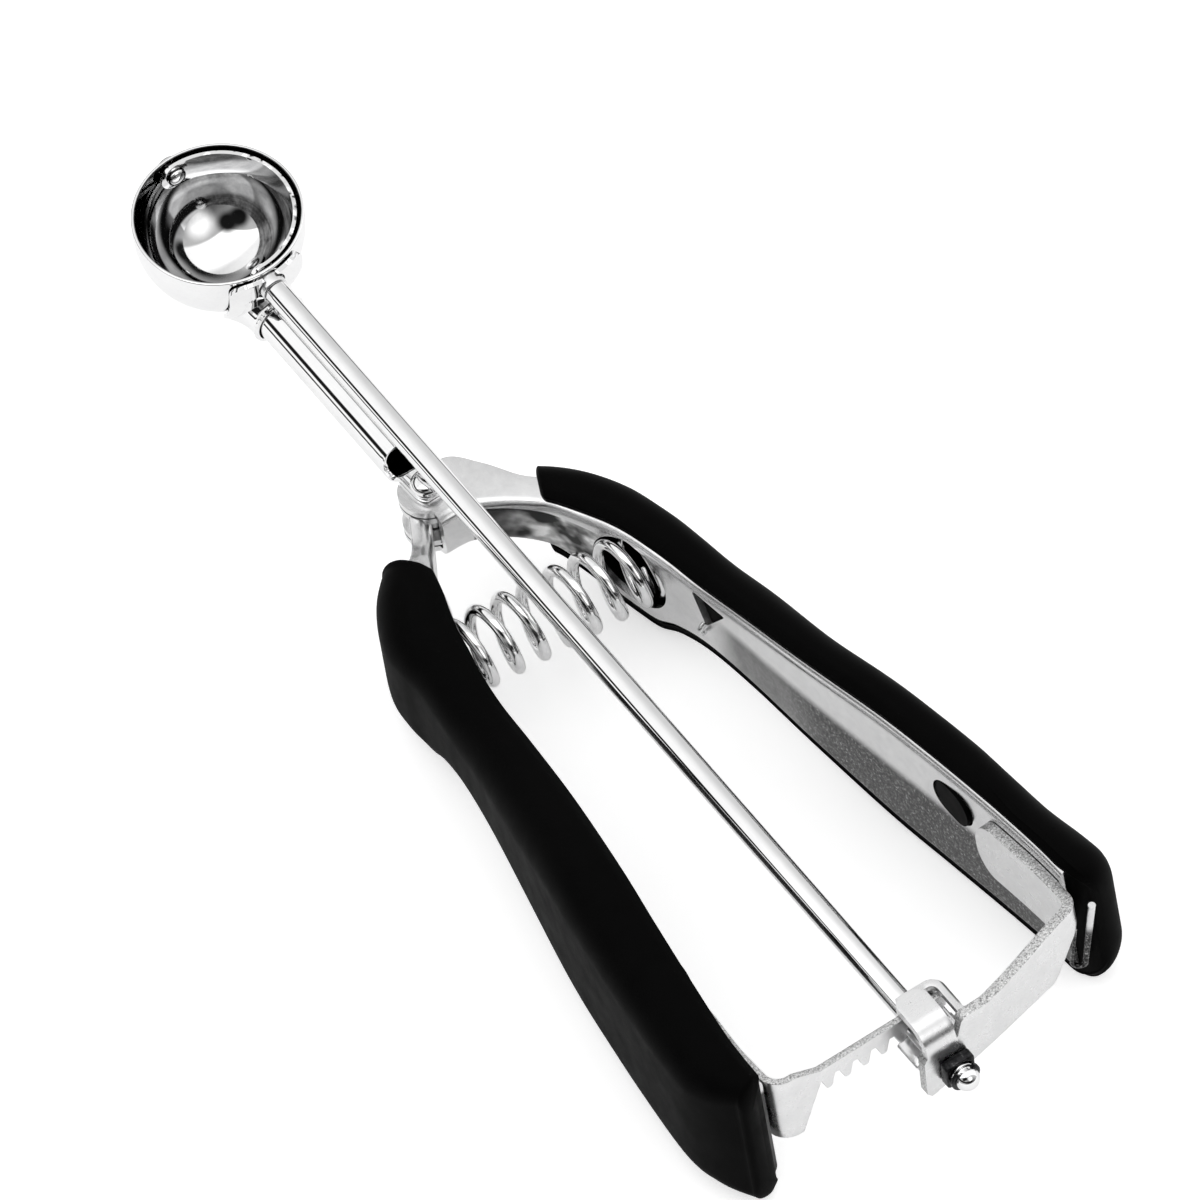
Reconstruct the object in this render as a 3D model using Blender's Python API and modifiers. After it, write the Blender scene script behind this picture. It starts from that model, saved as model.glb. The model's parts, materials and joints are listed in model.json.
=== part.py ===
"""Cookie scoop with squeeze handles, a rack and pinion and a sweeping scraper blade.

Metres, +Z up, +Y towards the bowl, standing on the undersides of its two grips.
"""

import math

import bmesh
import bpy
from mathutils import Matrix, Vector

MM = 0.001
FIT = 0.3 * MM
OVERRUN = 2.0 * MM

# Bowl, measured in the rod's own frame: y along the rod, z above it
BOWL_RADIUS = 13.5 * MM
BOWL_WALL = 0.6 * MM
BOWL_SKIRT = 3.0 * MM
BOWL_BACK = 42.8 * MM
BOWL_FACETS = 48

# Scraper blade inside the bowl
BLADE_WIDTH = 5.2 * MM
BLADE_SHEET = 0.6 * MM
BLADE_GAP = 0.35 * MM
BLADE_STEPS = 28
EYELET_STEPS = 5

# Rod with its journal, its peened nose and its domed tail
ROD_RADIUS = 2.0 * MM
ROD_PAST_PLATE = 6.1 * MM
ROD_SHOULDER = 40.6 * MM
ROD_TILT = math.radians(5.5)
ROD_RISE = 12.5 * MM
ROD_FACETS = 24
JOURNAL_RADIUS = 1.3 * MM
PEEN_RADIUS = 2.0 * MM
PEEN_LENGTH = 0.9 * MM
PEEN_TOP_SHARE = 0.7
GROOVE_DEPTH = 0.5 * MM

# Rivets
BLADE_RIVET_SHANK = 1.0 * MM
BLADE_RIVET_HEAD = 2.2 * MM
BLADE_RIVET_DOME = 1.1 * MM
HUB_SHANK = 1.5 * MM
HUB_DOME_RADIUS = 2.3 * MM
HUB_DOME_HEIGHT = 2.2 * MM
HUB_FOOT_RADIUS = 2.7 * MM
HUB_FOOT_HEIGHT = 0.9 * MM
HUB_FOOT_SHARE = 0.8
SPACER_WALL = 0.8 * MM

# Neck tube and the socket that carries the bowl
NECK_RADIUS = 3.45 * MM
NECK_WALL = 0.7 * MM
NECK_DROP = 7.3 * MM
NECK_BACK = 13.0 * MM
NECK_FLATTEN = 10.0 * MM
NECK_FRONT = 41.0 * MM
TONGUE_HALF_WIDTH = 2.6 * MM
TONGUE_SHEET = 1.0 * MM
TONGUE_START_SHARE = 0.4
SOCKET_SHEET = 0.8 * MM
SOCKET_HALF_WIDTH = 5.8 * MM
SOCKET_TOP = 2.2 * MM
SOCKET_BOTTOM = 12.2 * MM
SOCKET_RING = 39.6 * MM
SOCKET_FLARE = 9.4 * MM
SOCKET_REACH = 6.2 * MM
BUSH_WALL = 0.6 * MM

# Stamped levers, measured in the lever frame: z from the middle of the hub
LEVER_SHEET = 1.1 * MM
LEVER_REACH = 140.0 * MM
LEVER_SIDE = 29.0 * MM
LEVER_HALF = 12.5 * MM
LEVER_FLANGE = 7.5 * MM
LEVER_BEND = 1.9 * MM
HUB_HALF = 4.6 * MM
EAR_RADIUS = 4.9 * MM

# Rubber grips
GRIP_DEPTH = 9.6 * MM
GRIP_PROUD = 2.0 * MM
GRIP_LIP = 0.8 * MM
GRIP_ROUND = 5.6 * MM
GRIP_END = 2.8 * MM
GRIP_SHOULDER = 2.0 * MM

# Holes punched in the lever webs
SPRING_BACK = 27.3 * MM
SPRING_DROP = 1.8 * MM
SPRING_HOLE = 7.1 * MM
PEG_INSET = 35.4 * MM
PEG_RISE = 5.8 * MM
PEG_HALF_LENGTH = 4.3 * MM
PEG_HALF_HEIGHT = 3.4 * MM
NOTCH_FRONT = 43.2 * MM
NOTCH_REAR = 51.0 * MM
NOTCH_POINT = 45.6 * MM
NOTCH_TOP = 4.8 * MM
NOTCH_DROP = 1.8 * MM

# Compression spring between the grips
WIRE_RADIUS = 0.95 * MM
COIL_RADIUS = 5.55 * MM
COIL_TURNS = 9
COIL_POINTS = 9
COIL_END_PITCH = 2.97 * MM
COIL_START = math.radians(213)
SPRING_YAW = math.radians(5.2)
SPRING_LEFT = 19.4 * MM
SPRING_RIGHT = 22.4 * MM

# Rack and pinion
RACK_PITCH = 3.4 * MM
RACK_TEETH = 7
RACK_SHEET = 1.2 * MM
RACK_INSET = 4.6 * MM
RACK_ADDENDUM = 1.05 * MM
RACK_DEDENDUM = 1.35 * MM
RACK_SPINE = 2.6 * MM
RACK_BEND = 3.0 * MM
RACK_BACKLASH = 0.3 * MM
RACK_SLOPE = math.radians(20.0)
PINION_TEETH = 8
PINION_INSET = 6.8 * MM
PINION_LENGTH = 5.4 * MM
RACK_LEG_INSET = 28.0 * MM
RACK_LEG_LENGTH = 16.0 * MM
RACK_LEG_TOP = 9.6 * MM
RACK_FOOT = 4.4 * MM
RACK_LEG_BOTTOM = 3.6 * MM

# Arm bracket that carries the rod's tail
ARM_SHEET = 1.3 * MM
ARM_LEG_INSET = 28.0 * MM
ARM_LEG_LENGTH = 19.0 * MM
ARM_LEG_TOP = 10.2 * MM
ARM_LEG_BOTTOM = 1.6 * MM
ARM_NOSE = 4.0 * MM
ARM_KNEE = 6.8 * MM
ARM_PLATE_PAST = 0.5 * MM
ARM_PLATE_TOP = 10.1 * MM
ARM_PLATE_BOTTOM = 0.9 * MM
ARM_PLATE_END = 5.2 * MM
ARM_CORNER_INSET = 4.0 * MM
ARM_BEND = 2.4 * MM
ARM_TIP_DROP = 5.4 * MM
BOX_INSET = 8.4 * MM
BOX_SIDE = 3.3 * MM
BOX_LEFT = 3.6 * MM
BOX_BEND = 1.8 * MM
HOOD_LEFT = 4.6 * MM
HOOD_RIGHT = 0.9 * MM
REAR_BUSH_HALF = 3.3 * MM
REAR_BUSH_LENGTH = 1.8 * MM
CLIP_SHEET = 0.6 * MM
CLIP_RADIUS = 3.4 * MM

# Rows down each lever: back, side, turn of the flanges, flange depth, top and bottom of the web,
# grip depth. Back is a share of LEVER_REACH, side of LEVER_SIDE, turn of a quarter turn, flange
# depth of LEVER_FLANGE and grip depth of GRIP_DEPTH. Top and bottom run from the half height of
# that lever's ears, 0, to LEVER_HALF, 1.
RIGHT_LEVER_SHARES = [
    (0.047, -0.070, 1.00, 1.20, 0.00, 0.00, 0.94),
    (0.050, 0.090, 0.84, 1.50, 0.00, 0.00, 0.94),
    (0.069, 0.240, 0.83, 1.23, 0.01, 0.01, 0.94),
    (0.093, 0.360, 0.80, 0.87, 0.05, 0.06, 0.94),
    (0.112, 0.425, 0.70, 0.80, 0.10, 0.14, 1.00),
    (0.143, 0.490, 0.50, 0.80, 0.16, 0.40, 1.04),
    (0.179, 0.555, 0.30, 0.84, 0.23, 0.76, 1.00),
    (0.207, 0.595, 0.19, 0.84, 0.25, 0.90, 0.94),
    (0.236, 0.625, 0.14, 0.84, 0.25, 0.90, 0.92),
    (0.271, 0.658, 0.11, 0.84, 0.22, 0.62, 0.88),
    (0.321, 0.690, 0.08, 0.84, 0.21, 0.43, 0.86),
    (0.393, 0.727, 0.07, 0.84, 0.38, 0.46, 0.86),
    (0.500, 0.775, 0.07, 0.86, 0.66, 0.66, 0.87),
    (0.629, 0.850, 0.08, 0.88, 0.95, 0.95, 0.88),
    (0.714, 0.900, 0.07, 0.88, 1.00, 1.00, 0.89),
    (0.800, 0.945, 0.06, 0.88, 1.00, 1.00, 0.88),
    (0.886, 0.980, 0.03, 0.88, 0.97, 0.97, 0.85),
    (0.925, 0.988, -0.05, 0.78, 0.94, 0.94, 0.84),
    (0.957, 0.990, -0.20, 0.45, 0.90, 0.90, 0.62),
]
LEFT_LEVER_SHARES = [
    (0.022, 0.070, 0.33, 0.45, 0.00, 0.00, 0.94),
    (0.057, 0.166, 0.36, 0.45, 0.00, 0.00, 0.94),
    (0.083, 0.245, 0.42, 0.50, 0.15, 0.15, 0.94),
    (0.107, 0.300, 0.62, 0.65, 0.21, 0.24, 1.06),
    (0.143, 0.350, 0.42, 0.80, 0.29, 0.60, 1.28),
    (0.179, 0.410, 0.26, 0.88, 0.34, 0.88, 1.28),
    (0.207, 0.450, 0.18, 0.90, 0.36, 0.92, 1.16),
    (0.236, 0.480, 0.14, 0.90, 0.36, 0.92, 1.04),
    (0.271, 0.517, 0.12, 0.90, 0.33, 0.68, 0.98),
    (0.321, 0.552, 0.09, 0.90, 0.32, 0.51, 0.97),
    (0.393, 0.592, 0.09, 0.90, 0.47, 0.54, 1.03),
    (0.500, 0.662, 0.10, 0.95, 0.71, 0.71, 1.14),
    (0.629, 0.770, 0.11, 1.00, 0.96, 0.96, 1.19),
    (0.714, 0.845, 0.11, 1.00, 1.00, 1.00, 1.17),
    (0.800, 0.915, 0.10, 1.00, 1.00, 1.00, 1.14),
    (0.886, 0.979, 0.06, 1.00, 0.97, 0.97, 1.08),
    (0.925, 0.995, -0.02, 0.86, 0.94, 0.94, 0.94),
    (0.957, 1.000, -0.16, 0.50, 0.90, 0.90, 0.62),
]
RIGHT_GRIP_START_SHARE = 0.108
LEFT_GRIP_START_SHARE = 0.100
GRIP_FULL_SHARE = 0.90
GRIP_TAIL_SHARES = [(0.667, 0.85), (1.0, 0.62)]
ROW_STEPS = 2

# Places worked out from the sizes above: how far back each lies from the hub
PEG_BACK = LEVER_REACH - PEG_INSET
RACK_BACK = LEVER_REACH - RACK_INSET
RACK_LEG_FRONT = LEVER_REACH - RACK_LEG_INSET
PINION_FRONT = LEVER_REACH - PINION_INSET
ARM_LEG_FRONT = LEVER_REACH - ARM_LEG_INSET
ARM_CORNER_BACK = LEVER_REACH - ARM_CORNER_INSET
ARM_PLATE_BACK = LEVER_REACH + ARM_PLATE_PAST
BOX_FRONT = LEVER_REACH - BOX_INSET
ROD_TAIL = ARM_PLATE_BACK + ROD_PAST_PLATE

# Other sizes worked out from those above
BOWL_CENTRE = BOWL_BACK + BOWL_RADIUS
BOWL_INNER = BOWL_RADIUS - BOWL_WALL
NOSE = BOWL_CENTRE - BOWL_INNER
TAIL = BOWL_CENTRE + BOWL_INNER
EAR_TOP = HUB_HALF - LEVER_SHEET - FIT
TONGUE_Z = HUB_HALF + FIT + TONGUE_SHEET / 2
PITCH_RADIUS = RACK_PITCH * PINION_TEETH / math.tau
PINION_TIP = PITCH_RADIUS + RACK_ADDENDUM - 2 * FIT / 3
PINION_ROOT = PITCH_RADIUS - RACK_ADDENDUM - FIT

# Half width of a pinion tooth, root to tip, as a share of half the tooth spacing
PINION_TOOTH_SHARES = [
    (PINION_ROOT, 0.62),
    (PITCH_RADIUS - FIT, 0.50),
    (PITCH_RADIUS, 0.44),
    (PINION_TIP, 0.16),
]

# Scene and materials

for old in list(bpy.data.objects):
    bpy.data.objects.remove(old)

model = bpy.data.collections.new("cookie_scoop")
guides = bpy.data.collections.new("cutters")
bpy.context.scene.collection.children.link(model)
bpy.context.scene.collection.children.link(guides)


def material(name, colour, roughness, metallic):
    """A plain Principled finish."""
    made = bpy.data.materials.new(name)
    made.use_nodes = True
    shader = made.node_tree.nodes["Principled BSDF"]
    shader.inputs["Base Color"].default_value = (*colour, 1.0)
    shader.inputs["Roughness"].default_value = roughness
    shader.inputs["Metallic"].default_value = metallic
    return made


CHROME = material("chrome", (0.80, 0.80, 0.82), 0.08, 1.0)
STAMPED_STEEL = material("stamped_steel", (0.62, 0.62, 0.62), 0.35, 1.0)
SPRING_STEEL = material("spring_steel", (0.74, 0.74, 0.76), 0.18, 1.0)
BLACK_RUBBER = material("black_rubber", (0.02, 0.02, 0.02), 0.6, 0.0)
DARK_STEEL = material("dark_steel", (0.16, 0.16, 0.17), 0.4, 1.0)

# Mesh helpers


def empty(name, parent, location, rotation=(0.0, 0.0, 0.0)):
    """A named axis that pieces hang from."""
    made = bpy.data.objects.new(name, None)
    made.parent = parent
    made.location = location
    made.rotation_euler = rotation
    model.objects.link(made)
    return made


def piece(name, mesh, finish, parent, location=(0, 0, 0), rotation=(0, 0, 0)):
    """A finished sub-part of the scoop."""
    made = bpy.data.objects.new(name, mesh)
    mesh.materials.clear()
    mesh.materials.append(finish)
    made.parent = parent
    made.location = location
    made.rotation_euler = rotation
    model.objects.link(made)
    return made


def guide(name, mesh, parent, location=(0, 0, 0), rotation=(0, 0, 0)):
    """A shape that only cuts or is joined to another."""
    made = bpy.data.objects.new(name, mesh)
    made.parent = parent
    made.location = location
    made.rotation_euler = rotation
    made.hide_render = True
    made.display_type = "WIRE"
    guides.objects.link(made)
    return made


def smooth(mesh, angle=math.radians(32)):
    """Smooth shading with sharp edges kept."""
    mesh.shade_smooth()
    mesh.set_sharp_from_angle(angle=angle)
    return mesh


def mesh_from(name, build):
    """A mesh filled by a bmesh function."""
    mesh = bpy.data.meshes.new(name)
    made = bmesh.new()
    build(made)
    bmesh.ops.recalc_face_normals(made, faces=made.faces)
    made.to_mesh(mesh)
    made.free()
    return smooth(mesh)


def cylinder(name, radius, length, facets=ROD_FACETS):
    """A round bar along z, centred on its own origin."""
    return mesh_from(name, lambda made: bmesh.ops.create_cone(
        made, cap_ends=True, segments=facets, radius1=radius, radius2=radius, depth=length))


def box(name, low, high):
    """A block between two corners."""
    size = Vector(high) - Vector(low)
    middle = (Vector(high) + Vector(low)) / 2
    place = Matrix.Translation(middle) @ Matrix.Diagonal((*size, 1.0))
    return mesh_from(name, lambda made: bmesh.ops.create_cube(made, size=1.0, matrix=place))


def open_line(name, points):
    """Points joined by edges, for a turned profile."""
    mesh = bpy.data.meshes.new(name)
    edges = [(i, i + 1) for i in range(len(points) - 1)]
    mesh.from_pydata([(x, 0.0, z) for x, z in points], edges, [])
    return mesh


def turn(made, steps=ROD_FACETS):
    """Turn an object's profile round its z axis."""
    screw = made.modifiers.new("Turned", "SCREW")
    screw.axis = "Z"
    screw.steps = steps
    screw.render_steps = steps
    screw.use_merge_vertices = True
    screw.merge_threshold = 0.00001
    return made


def thicken(made, thickness, offset=-1.0):
    """Give an open sheet its thickness."""
    solid = made.modifiers.new("Sheet", "SOLIDIFY")
    solid.thickness = thickness
    solid.offset = offset
    solid.use_even_offset = True
    return made


def combine(made, other, operation):
    """Cut or join a piece with a guide."""
    change = made.modifiers.new(operation.title(), "BOOLEAN")
    change.operation = operation
    change.solver = "EXACT"
    change.object = other
    return made


def skin(name, rings, closed=True, capped=True):
    """A surface stretched over rings of points."""

    def build(made):
        rows = [[made.verts.new(point) for point in ring] for ring in rings]
        count = len(rings[0])
        for lower, upper in zip(rows, rows[1:]):
            for i in range(count if closed else count - 1):
                j = (i + 1) % count
                made.faces.new((lower[i], lower[j], upper[j], upper[i]))
        if closed and capped:
            made.faces.new(rows[0])
            made.faces.new(rows[-1])

    return mesh_from(name, build)


def plate(name, outline, thickness):
    """A flat outline in its own xy plane, cut from sheet."""
    curve = bpy.data.curves.new(name, "CURVE")
    curve.dimensions = "2D"
    curve.fill_mode = "BOTH"
    curve.extrude = thickness / 2
    spline = curve.splines.new("POLY")
    spline.points.add(len(outline) - 1)
    for point, (x, y) in zip(spline.points, outline):
        point.co = (x, y, 0.0, 1.0)
    spline.use_cyclic_u = True
    return solid_mesh(name, curve)


def solid_mesh(name, curve):
    """A curve made into one closed mesh."""
    holder = bpy.data.objects.new(name, curve)
    bpy.context.scene.collection.objects.link(holder)
    seen = holder.evaluated_get(bpy.context.evaluated_depsgraph_get())
    mesh = bpy.data.meshes.new_from_object(seen)
    bpy.data.objects.remove(holder)
    made = bmesh.new()
    made.from_mesh(mesh)
    bmesh.ops.remove_doubles(made, verts=made.verts, dist=0.000001)
    bmesh.ops.recalc_face_normals(made, faces=made.faces)
    made.to_mesh(mesh)
    made.free()
    return smooth(mesh)


def arc(centre_x, centre_y, radius, start, end, steps):
    """Points along an arc in a plane."""
    angles = [start + (end - start) * i / steps for i in range(steps + 1)]
    return [(centre_x + radius * math.cos(a), centre_y + radius * math.sin(a)) for a in angles]


def bent_path(corners, radii, steps=4):
    """A path through corners, with each inner corner rounded."""
    path = [corners[0]]
    for before, corner, after, radius in zip(corners, corners[1:], corners[2:], radii):
        here = Vector(corner)
        back = (Vector(before) - here).normalized()
        ahead = (Vector(after) - here).normalized()
        half = back.angle(ahead) / 2
        inward = (back + ahead).normalized()
        centre = here + inward * radius / math.sin(half)
        swing = math.copysign(math.pi / 2 - half, back.cross(ahead))
        start = math.atan2(-inward.y, -inward.x)
        path += arc(centre.x, centre.y, radius, start + swing, start - swing, steps)
    path.append(corners[-1])
    return path


def sheet(name, path, lows, highs, leans, height):
    """A bent sheet's middle surface: a plan path with the low and high z of each station.

    Where a station leans, its edges stand square to the rod, about the given height.
    """
    slope = math.tan(ROD_TILT)
    low = [(x, y - (z - height) * lean * slope, z) for (x, y), z, lean in zip(path, lows, leans)]
    high = [(x, y - (z - height) * lean * slope, z) for (x, y), z, lean in zip(path, highs, leans)]
    return skin(name, [low, high], closed=False)


def tilted(point):
    """A place in the rod's frame, given in the lever frame."""
    x, y, z = point
    sine = math.sin(ROD_TILT)
    cosine = math.cos(ROD_TILT)
    return x, (y * cosine - (z + ROD_RISE) * sine), ((z + ROD_RISE) * cosine + y * sine)


# Lever and grip sections


def between(before, start, end, after, t):
    """A value on the smooth curve from start to end, at a share t of the way."""
    slope = end - before
    bend = 2 * before - 5 * start + 4 * end - after
    twist = 3 * (start - end) + after - before
    return start + (slope * t + bend * t ** 2 + twist * t ** 3) / 2


def smooth_rows(shares, half_at_ear):
    """Rows of a lever in real sizes, with rows added between on a smooth curve."""
    padded = [shares[0], *shares, shares[-1]]
    rows = []
    for span in zip(padded, padded[1:], padded[2:], padded[3:]):
        for step in range(ROW_STEPS):
            rows.append(tuple(between(*values, step / ROW_STEPS) for values in zip(*span)))
    rows.append(shares[-1])
    rise = LEVER_HALF - half_at_ear
    return [(back * LEVER_REACH, side * LEVER_SIDE, turned * math.pi / 2, depth * LEVER_FLANGE,
             half_at_ear + top * rise, half_at_ear + bottom * rise, grip * GRIP_DEPTH, top, bottom)
            for back, side, turned, depth, top, bottom, grip in rows]


def spring_seat(hand):
    """How far back the spring's end sits in a lever, the spring standing a little askew."""
    return SPRING_BACK + hand * math.tan(SPRING_YAW) * (SPRING_LEFT + SPRING_RIGHT) / 2


def web_side(rows, back):
    """How far the web's inner face stands from the middle plane at a distance back."""
    for front, rear in zip(rows, rows[1:]):
        if front[0] <= back <= rear[0]:
            return front[1] + (rear[1] - front[1]) * (back - front[0]) / (rear[0] - front[0])
    return rows[-1][1]


def placed(row, hand, section):
    """Points of a section, outward and up, set on a row of a lever."""
    back, side, turned = row[:3]
    return [(hand * (side + out * math.cos(turned)), -back + out * math.sin(turned), z) for out, z in section]


def channel(row, hand):
    """The lever's stamped channel: a web with a flange above and below."""
    depth, top, bottom = row[3:6]
    inner = LEVER_BEND - LEVER_SHEET
    quarter = math.pi / 2
    section = [(depth, -bottom)]
    section += arc(LEVER_BEND, LEVER_BEND - bottom, LEVER_BEND, 3 * quarter, 2 * quarter, 2)
    section += arc(LEVER_BEND, top - LEVER_BEND, LEVER_BEND, 2 * quarter, quarter, 2)
    section += [(depth, top), (depth, top - LEVER_SHEET)]
    section += arc(LEVER_BEND, top - LEVER_BEND, inner, quarter, 2 * quarter, 2)
    section += arc(LEVER_BEND, LEVER_BEND - bottom, inner, 2 * quarter, 3 * quarter, 2)
    section += [(depth, LEVER_SHEET - bottom)]
    return placed(row, hand, section)


def grip_section(row, hand):
    """The rubber's D-shaped outside."""
    top, bottom, depth, top_share, bottom_share = row[4:]
    crown = top + GRIP_PROUD
    foot = -(bottom + GRIP_PROUD)
    if bottom_share >= GRIP_FULL_SHARE:
        foot = -(LEVER_HALF + GRIP_PROUD)
    if top_share >= GRIP_FULL_SHARE:
        crown = LEVER_HALF + GRIP_PROUD
    quarter = math.pi / 2
    corner = min(GRIP_ROUND, depth * 3 / 5)
    section = [(FIT, -bottom - FIT - GRIP_LIP), (GRIP_SHOULDER, foot)]
    section += arc(depth - corner, foot + corner, corner, -quarter, 0, 4)
    section += arc(depth - corner, crown - corner, corner, 0, quarter, 4)
    section += [(GRIP_SHOULDER, crown), (FIT, top + FIT + GRIP_LIP)]
    return placed(row, hand, section)


def slot_section(row, hand):
    """The room that the channel needs in the rubber, open on its inner side."""
    depth, top, bottom = row[3:6]
    out = depth + FIT
    thick = LEVER_SHEET + FIT
    section = [(out, -bottom - FIT), (-OVERRUN, -bottom - FIT), (-OVERRUN, top + FIT), (out, top + FIT)]
    section += [(out, top - thick), (LEVER_BEND, top - thick), (thick, top - LEVER_BEND)]
    section += [(thick, LEVER_BEND - bottom), (LEVER_BEND, thick - bottom), (out, thick - bottom)]
    return placed(row, hand, section)


def shrunk(points, share):
    """A ring of points drawn in towards its own middle."""
    middle = sum((Vector(point) for point in points), Vector()) / len(points)
    return [tuple(middle + (Vector(point) - middle) * share) for point in points]


def moved_on(rows, distance):
    """The last row carried on past the lever's end."""
    before, last = rows[-2], rows[-1]
    run = math.hypot(last[0] - before[0], last[1] - before[1])
    back = last[0] + (last[0] - before[0]) * distance / run
    side = last[1] + (last[1] - before[1]) * distance / run
    return (back, side, *last[2:])


RIGHT_ROWS = smooth_rows(RIGHT_LEVER_SHARES, HUB_HALF)
LEFT_ROWS = smooth_rows(LEFT_LEVER_SHARES, EAR_TOP)
RIGHT_GRIP_ROWS = [row for row in RIGHT_ROWS if row[0] > RIGHT_GRIP_START_SHARE * LEVER_REACH]
LEFT_GRIP_ROWS = [row for row in LEFT_ROWS if row[0] > LEFT_GRIP_START_SHARE * LEVER_REACH]


def grip_rings(rows, hand):
    """Rings of a grip's outside, with its rounded tail."""
    rings = [grip_section(row, hand) for row in rows]
    for way_share, size_share in GRIP_TAIL_SHARES:
        rings.append(shrunk(grip_section(moved_on(rows, GRIP_END * way_share), hand), size_share))
    return rings


# Frames: the part rests on the grips, and its middle is under the origin

RIGHT_OUTER = max(x for ring in grip_rings(RIGHT_GRIP_ROWS, 1) for x, y, z in ring)
LEFT_OUTER = min(x for ring in grip_rings(LEFT_GRIP_ROWS, -1) for x, y, z in ring)
NOSE_REACH = TAIL + BOWL_WALL + FIT + BLADE_RIVET_DOME
FRONT_END = tilted((0, NOSE_REACH, 0))[1]
REAR_END = tilted((0, -ROD_TAIL, 0))[1]
PIVOT_PLACE = (-(RIGHT_OUTER + LEFT_OUTER) / 2, -(FRONT_END + REAR_END) / 2, LEVER_HALF + GRIP_PROUD)

pivot = empty("handle_pivot", None, PIVOT_PLACE)
left_side = empty("left_side", pivot, (0, 0, 0))
shaft_axis = empty("shaft_axis", pivot, tilted((0, 0, 0)), (ROD_TILT, 0, 0))
ALONG_Y = (-math.pi / 2, 0, 0)
ALONG_X = (0, math.pi / 2, 0)
STANDING_YZ = (math.pi / 2, 0, math.pi / 2)


# Bowl and blade


def make_bowl():
    """A spun hemisphere with a short straight skirt, open at the top."""
    profile = [(BOWL_RADIUS, BOWL_SKIRT)]
    profile += arc(0, 0, BOWL_RADIUS, 0, -math.pi / 2, BOWL_FACETS // 4)
    profile[-1] = (0.0, -BOWL_RADIUS)
    bowl = piece("bowl", open_line("bowl", profile), CHROME, shaft_axis, (0, BOWL_CENTRE, 0))
    turn(bowl, BOWL_FACETS)
    thicken(bowl, BOWL_WALL)
    rear_hole = cylinder("bowl_bush_hole", JOURNAL_RADIUS + 2 * FIT + BUSH_WALL, BOWL_RADIUS)
    front_hole = cylinder("bowl_rivet_hole", BLADE_RIVET_SHANK + FIT, BOWL_RADIUS)
    combine(bowl, guide("bowl_bush_cut", rear_hole, shaft_axis, (0, NOSE, 0), ALONG_Y), "DIFFERENCE")
    combine(bowl, guide("bowl_rivet_cut", front_hole, shaft_axis, (0, TAIL, 0), ALONG_Y), "DIFFERENCE")


def make_blade():
    """A half hoop that sweeps the bowl, with a round eyelet on the axis at each end."""
    half = BLADE_WIDTH / 2
    radius = math.sqrt((BOWL_INNER - BLADE_GAP) ** 2 - half ** 2)
    low = []
    high = []
    for step in range(EYELET_STEPS, 0, -1):
        run = half * math.sin(math.pi / 2 * step / (EYELET_STEPS + 1))
        low.append((-run, -radius, -math.sqrt(half ** 2 - run ** 2)))
        high.append((-run, -radius, math.sqrt(half ** 2 - run ** 2)))
    for x, y in arc(0, 0, radius, -math.pi / 2, math.pi / 2, BLADE_STEPS):
        low.append((x, y, -half))
        high.append((x, y, half))
    for step in range(1, EYELET_STEPS + 1):
        run = half * math.sin(math.pi / 2 * step / (EYELET_STEPS + 1))
        low.append((-run, radius, -math.sqrt(half ** 2 - run ** 2)))
        high.append((-run, radius, math.sqrt(half ** 2 - run ** 2)))
    mesh = skin("scraper_blade", [low, high], closed=False)
    blade = piece("scraper_blade", mesh, CHROME, shaft_axis, (0, BOWL_CENTRE, 0))
    thicken(blade, BLADE_SHEET, facing_in(mesh))
    rear_hole = cylinder("blade_journal_hole", JOURNAL_RADIUS + FIT, radius)
    front_hole = cylinder("blade_rivet_hole", BLADE_RIVET_SHANK + FIT, radius)
    combine(blade, guide("blade_journal_cut", rear_hole, shaft_axis, (0, NOSE, 0), ALONG_Y), "DIFFERENCE")
    combine(blade, guide("blade_rivet_cut", front_hole, shaft_axis, (0, TAIL, 0), ALONG_Y), "DIFFERENCE")
    return radius


def facing_in(mesh):
    """The Solidify offset that puts a hoop's thickness on its inner side."""
    outward = sum(face.normal.dot(face.center) for face in mesh.polygons)
    return -1.0 if outward > 0 else 1.0


def make_blade_rivet(blade_radius):
    """The rivet on which the blade turns at the far side of the bowl."""
    inner = blade_radius - BLADE_SHEET - FIT
    outer = BOWL_RADIUS + FIT
    dome = BLADE_RIVET_DOME
    profile = [(0.0, outer + dome)]
    profile += [(BLADE_RIVET_HEAD * math.sin(a), outer + dome * math.cos(a))
                for a in (math.pi / 2 * i / 4 for i in range(1, 5))]
    profile += [(BLADE_RIVET_SHANK, outer), (BLADE_RIVET_SHANK, inner), (BLADE_RIVET_HEAD, inner)]
    profile += [(BLADE_RIVET_HEAD * math.cos(a), inner - dome * math.sin(a))
                for a in (math.pi / 2 * i / 4 for i in range(1, 4))]
    profile += [(0.0, inner - dome)]
    rivet = piece("blade_pivot", open_line("blade_pivot", profile), CHROME, shaft_axis,
                  (0, BOWL_CENTRE, 0), ALONG_Y)
    turn(rivet)


# Rod and its end pieces


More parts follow.
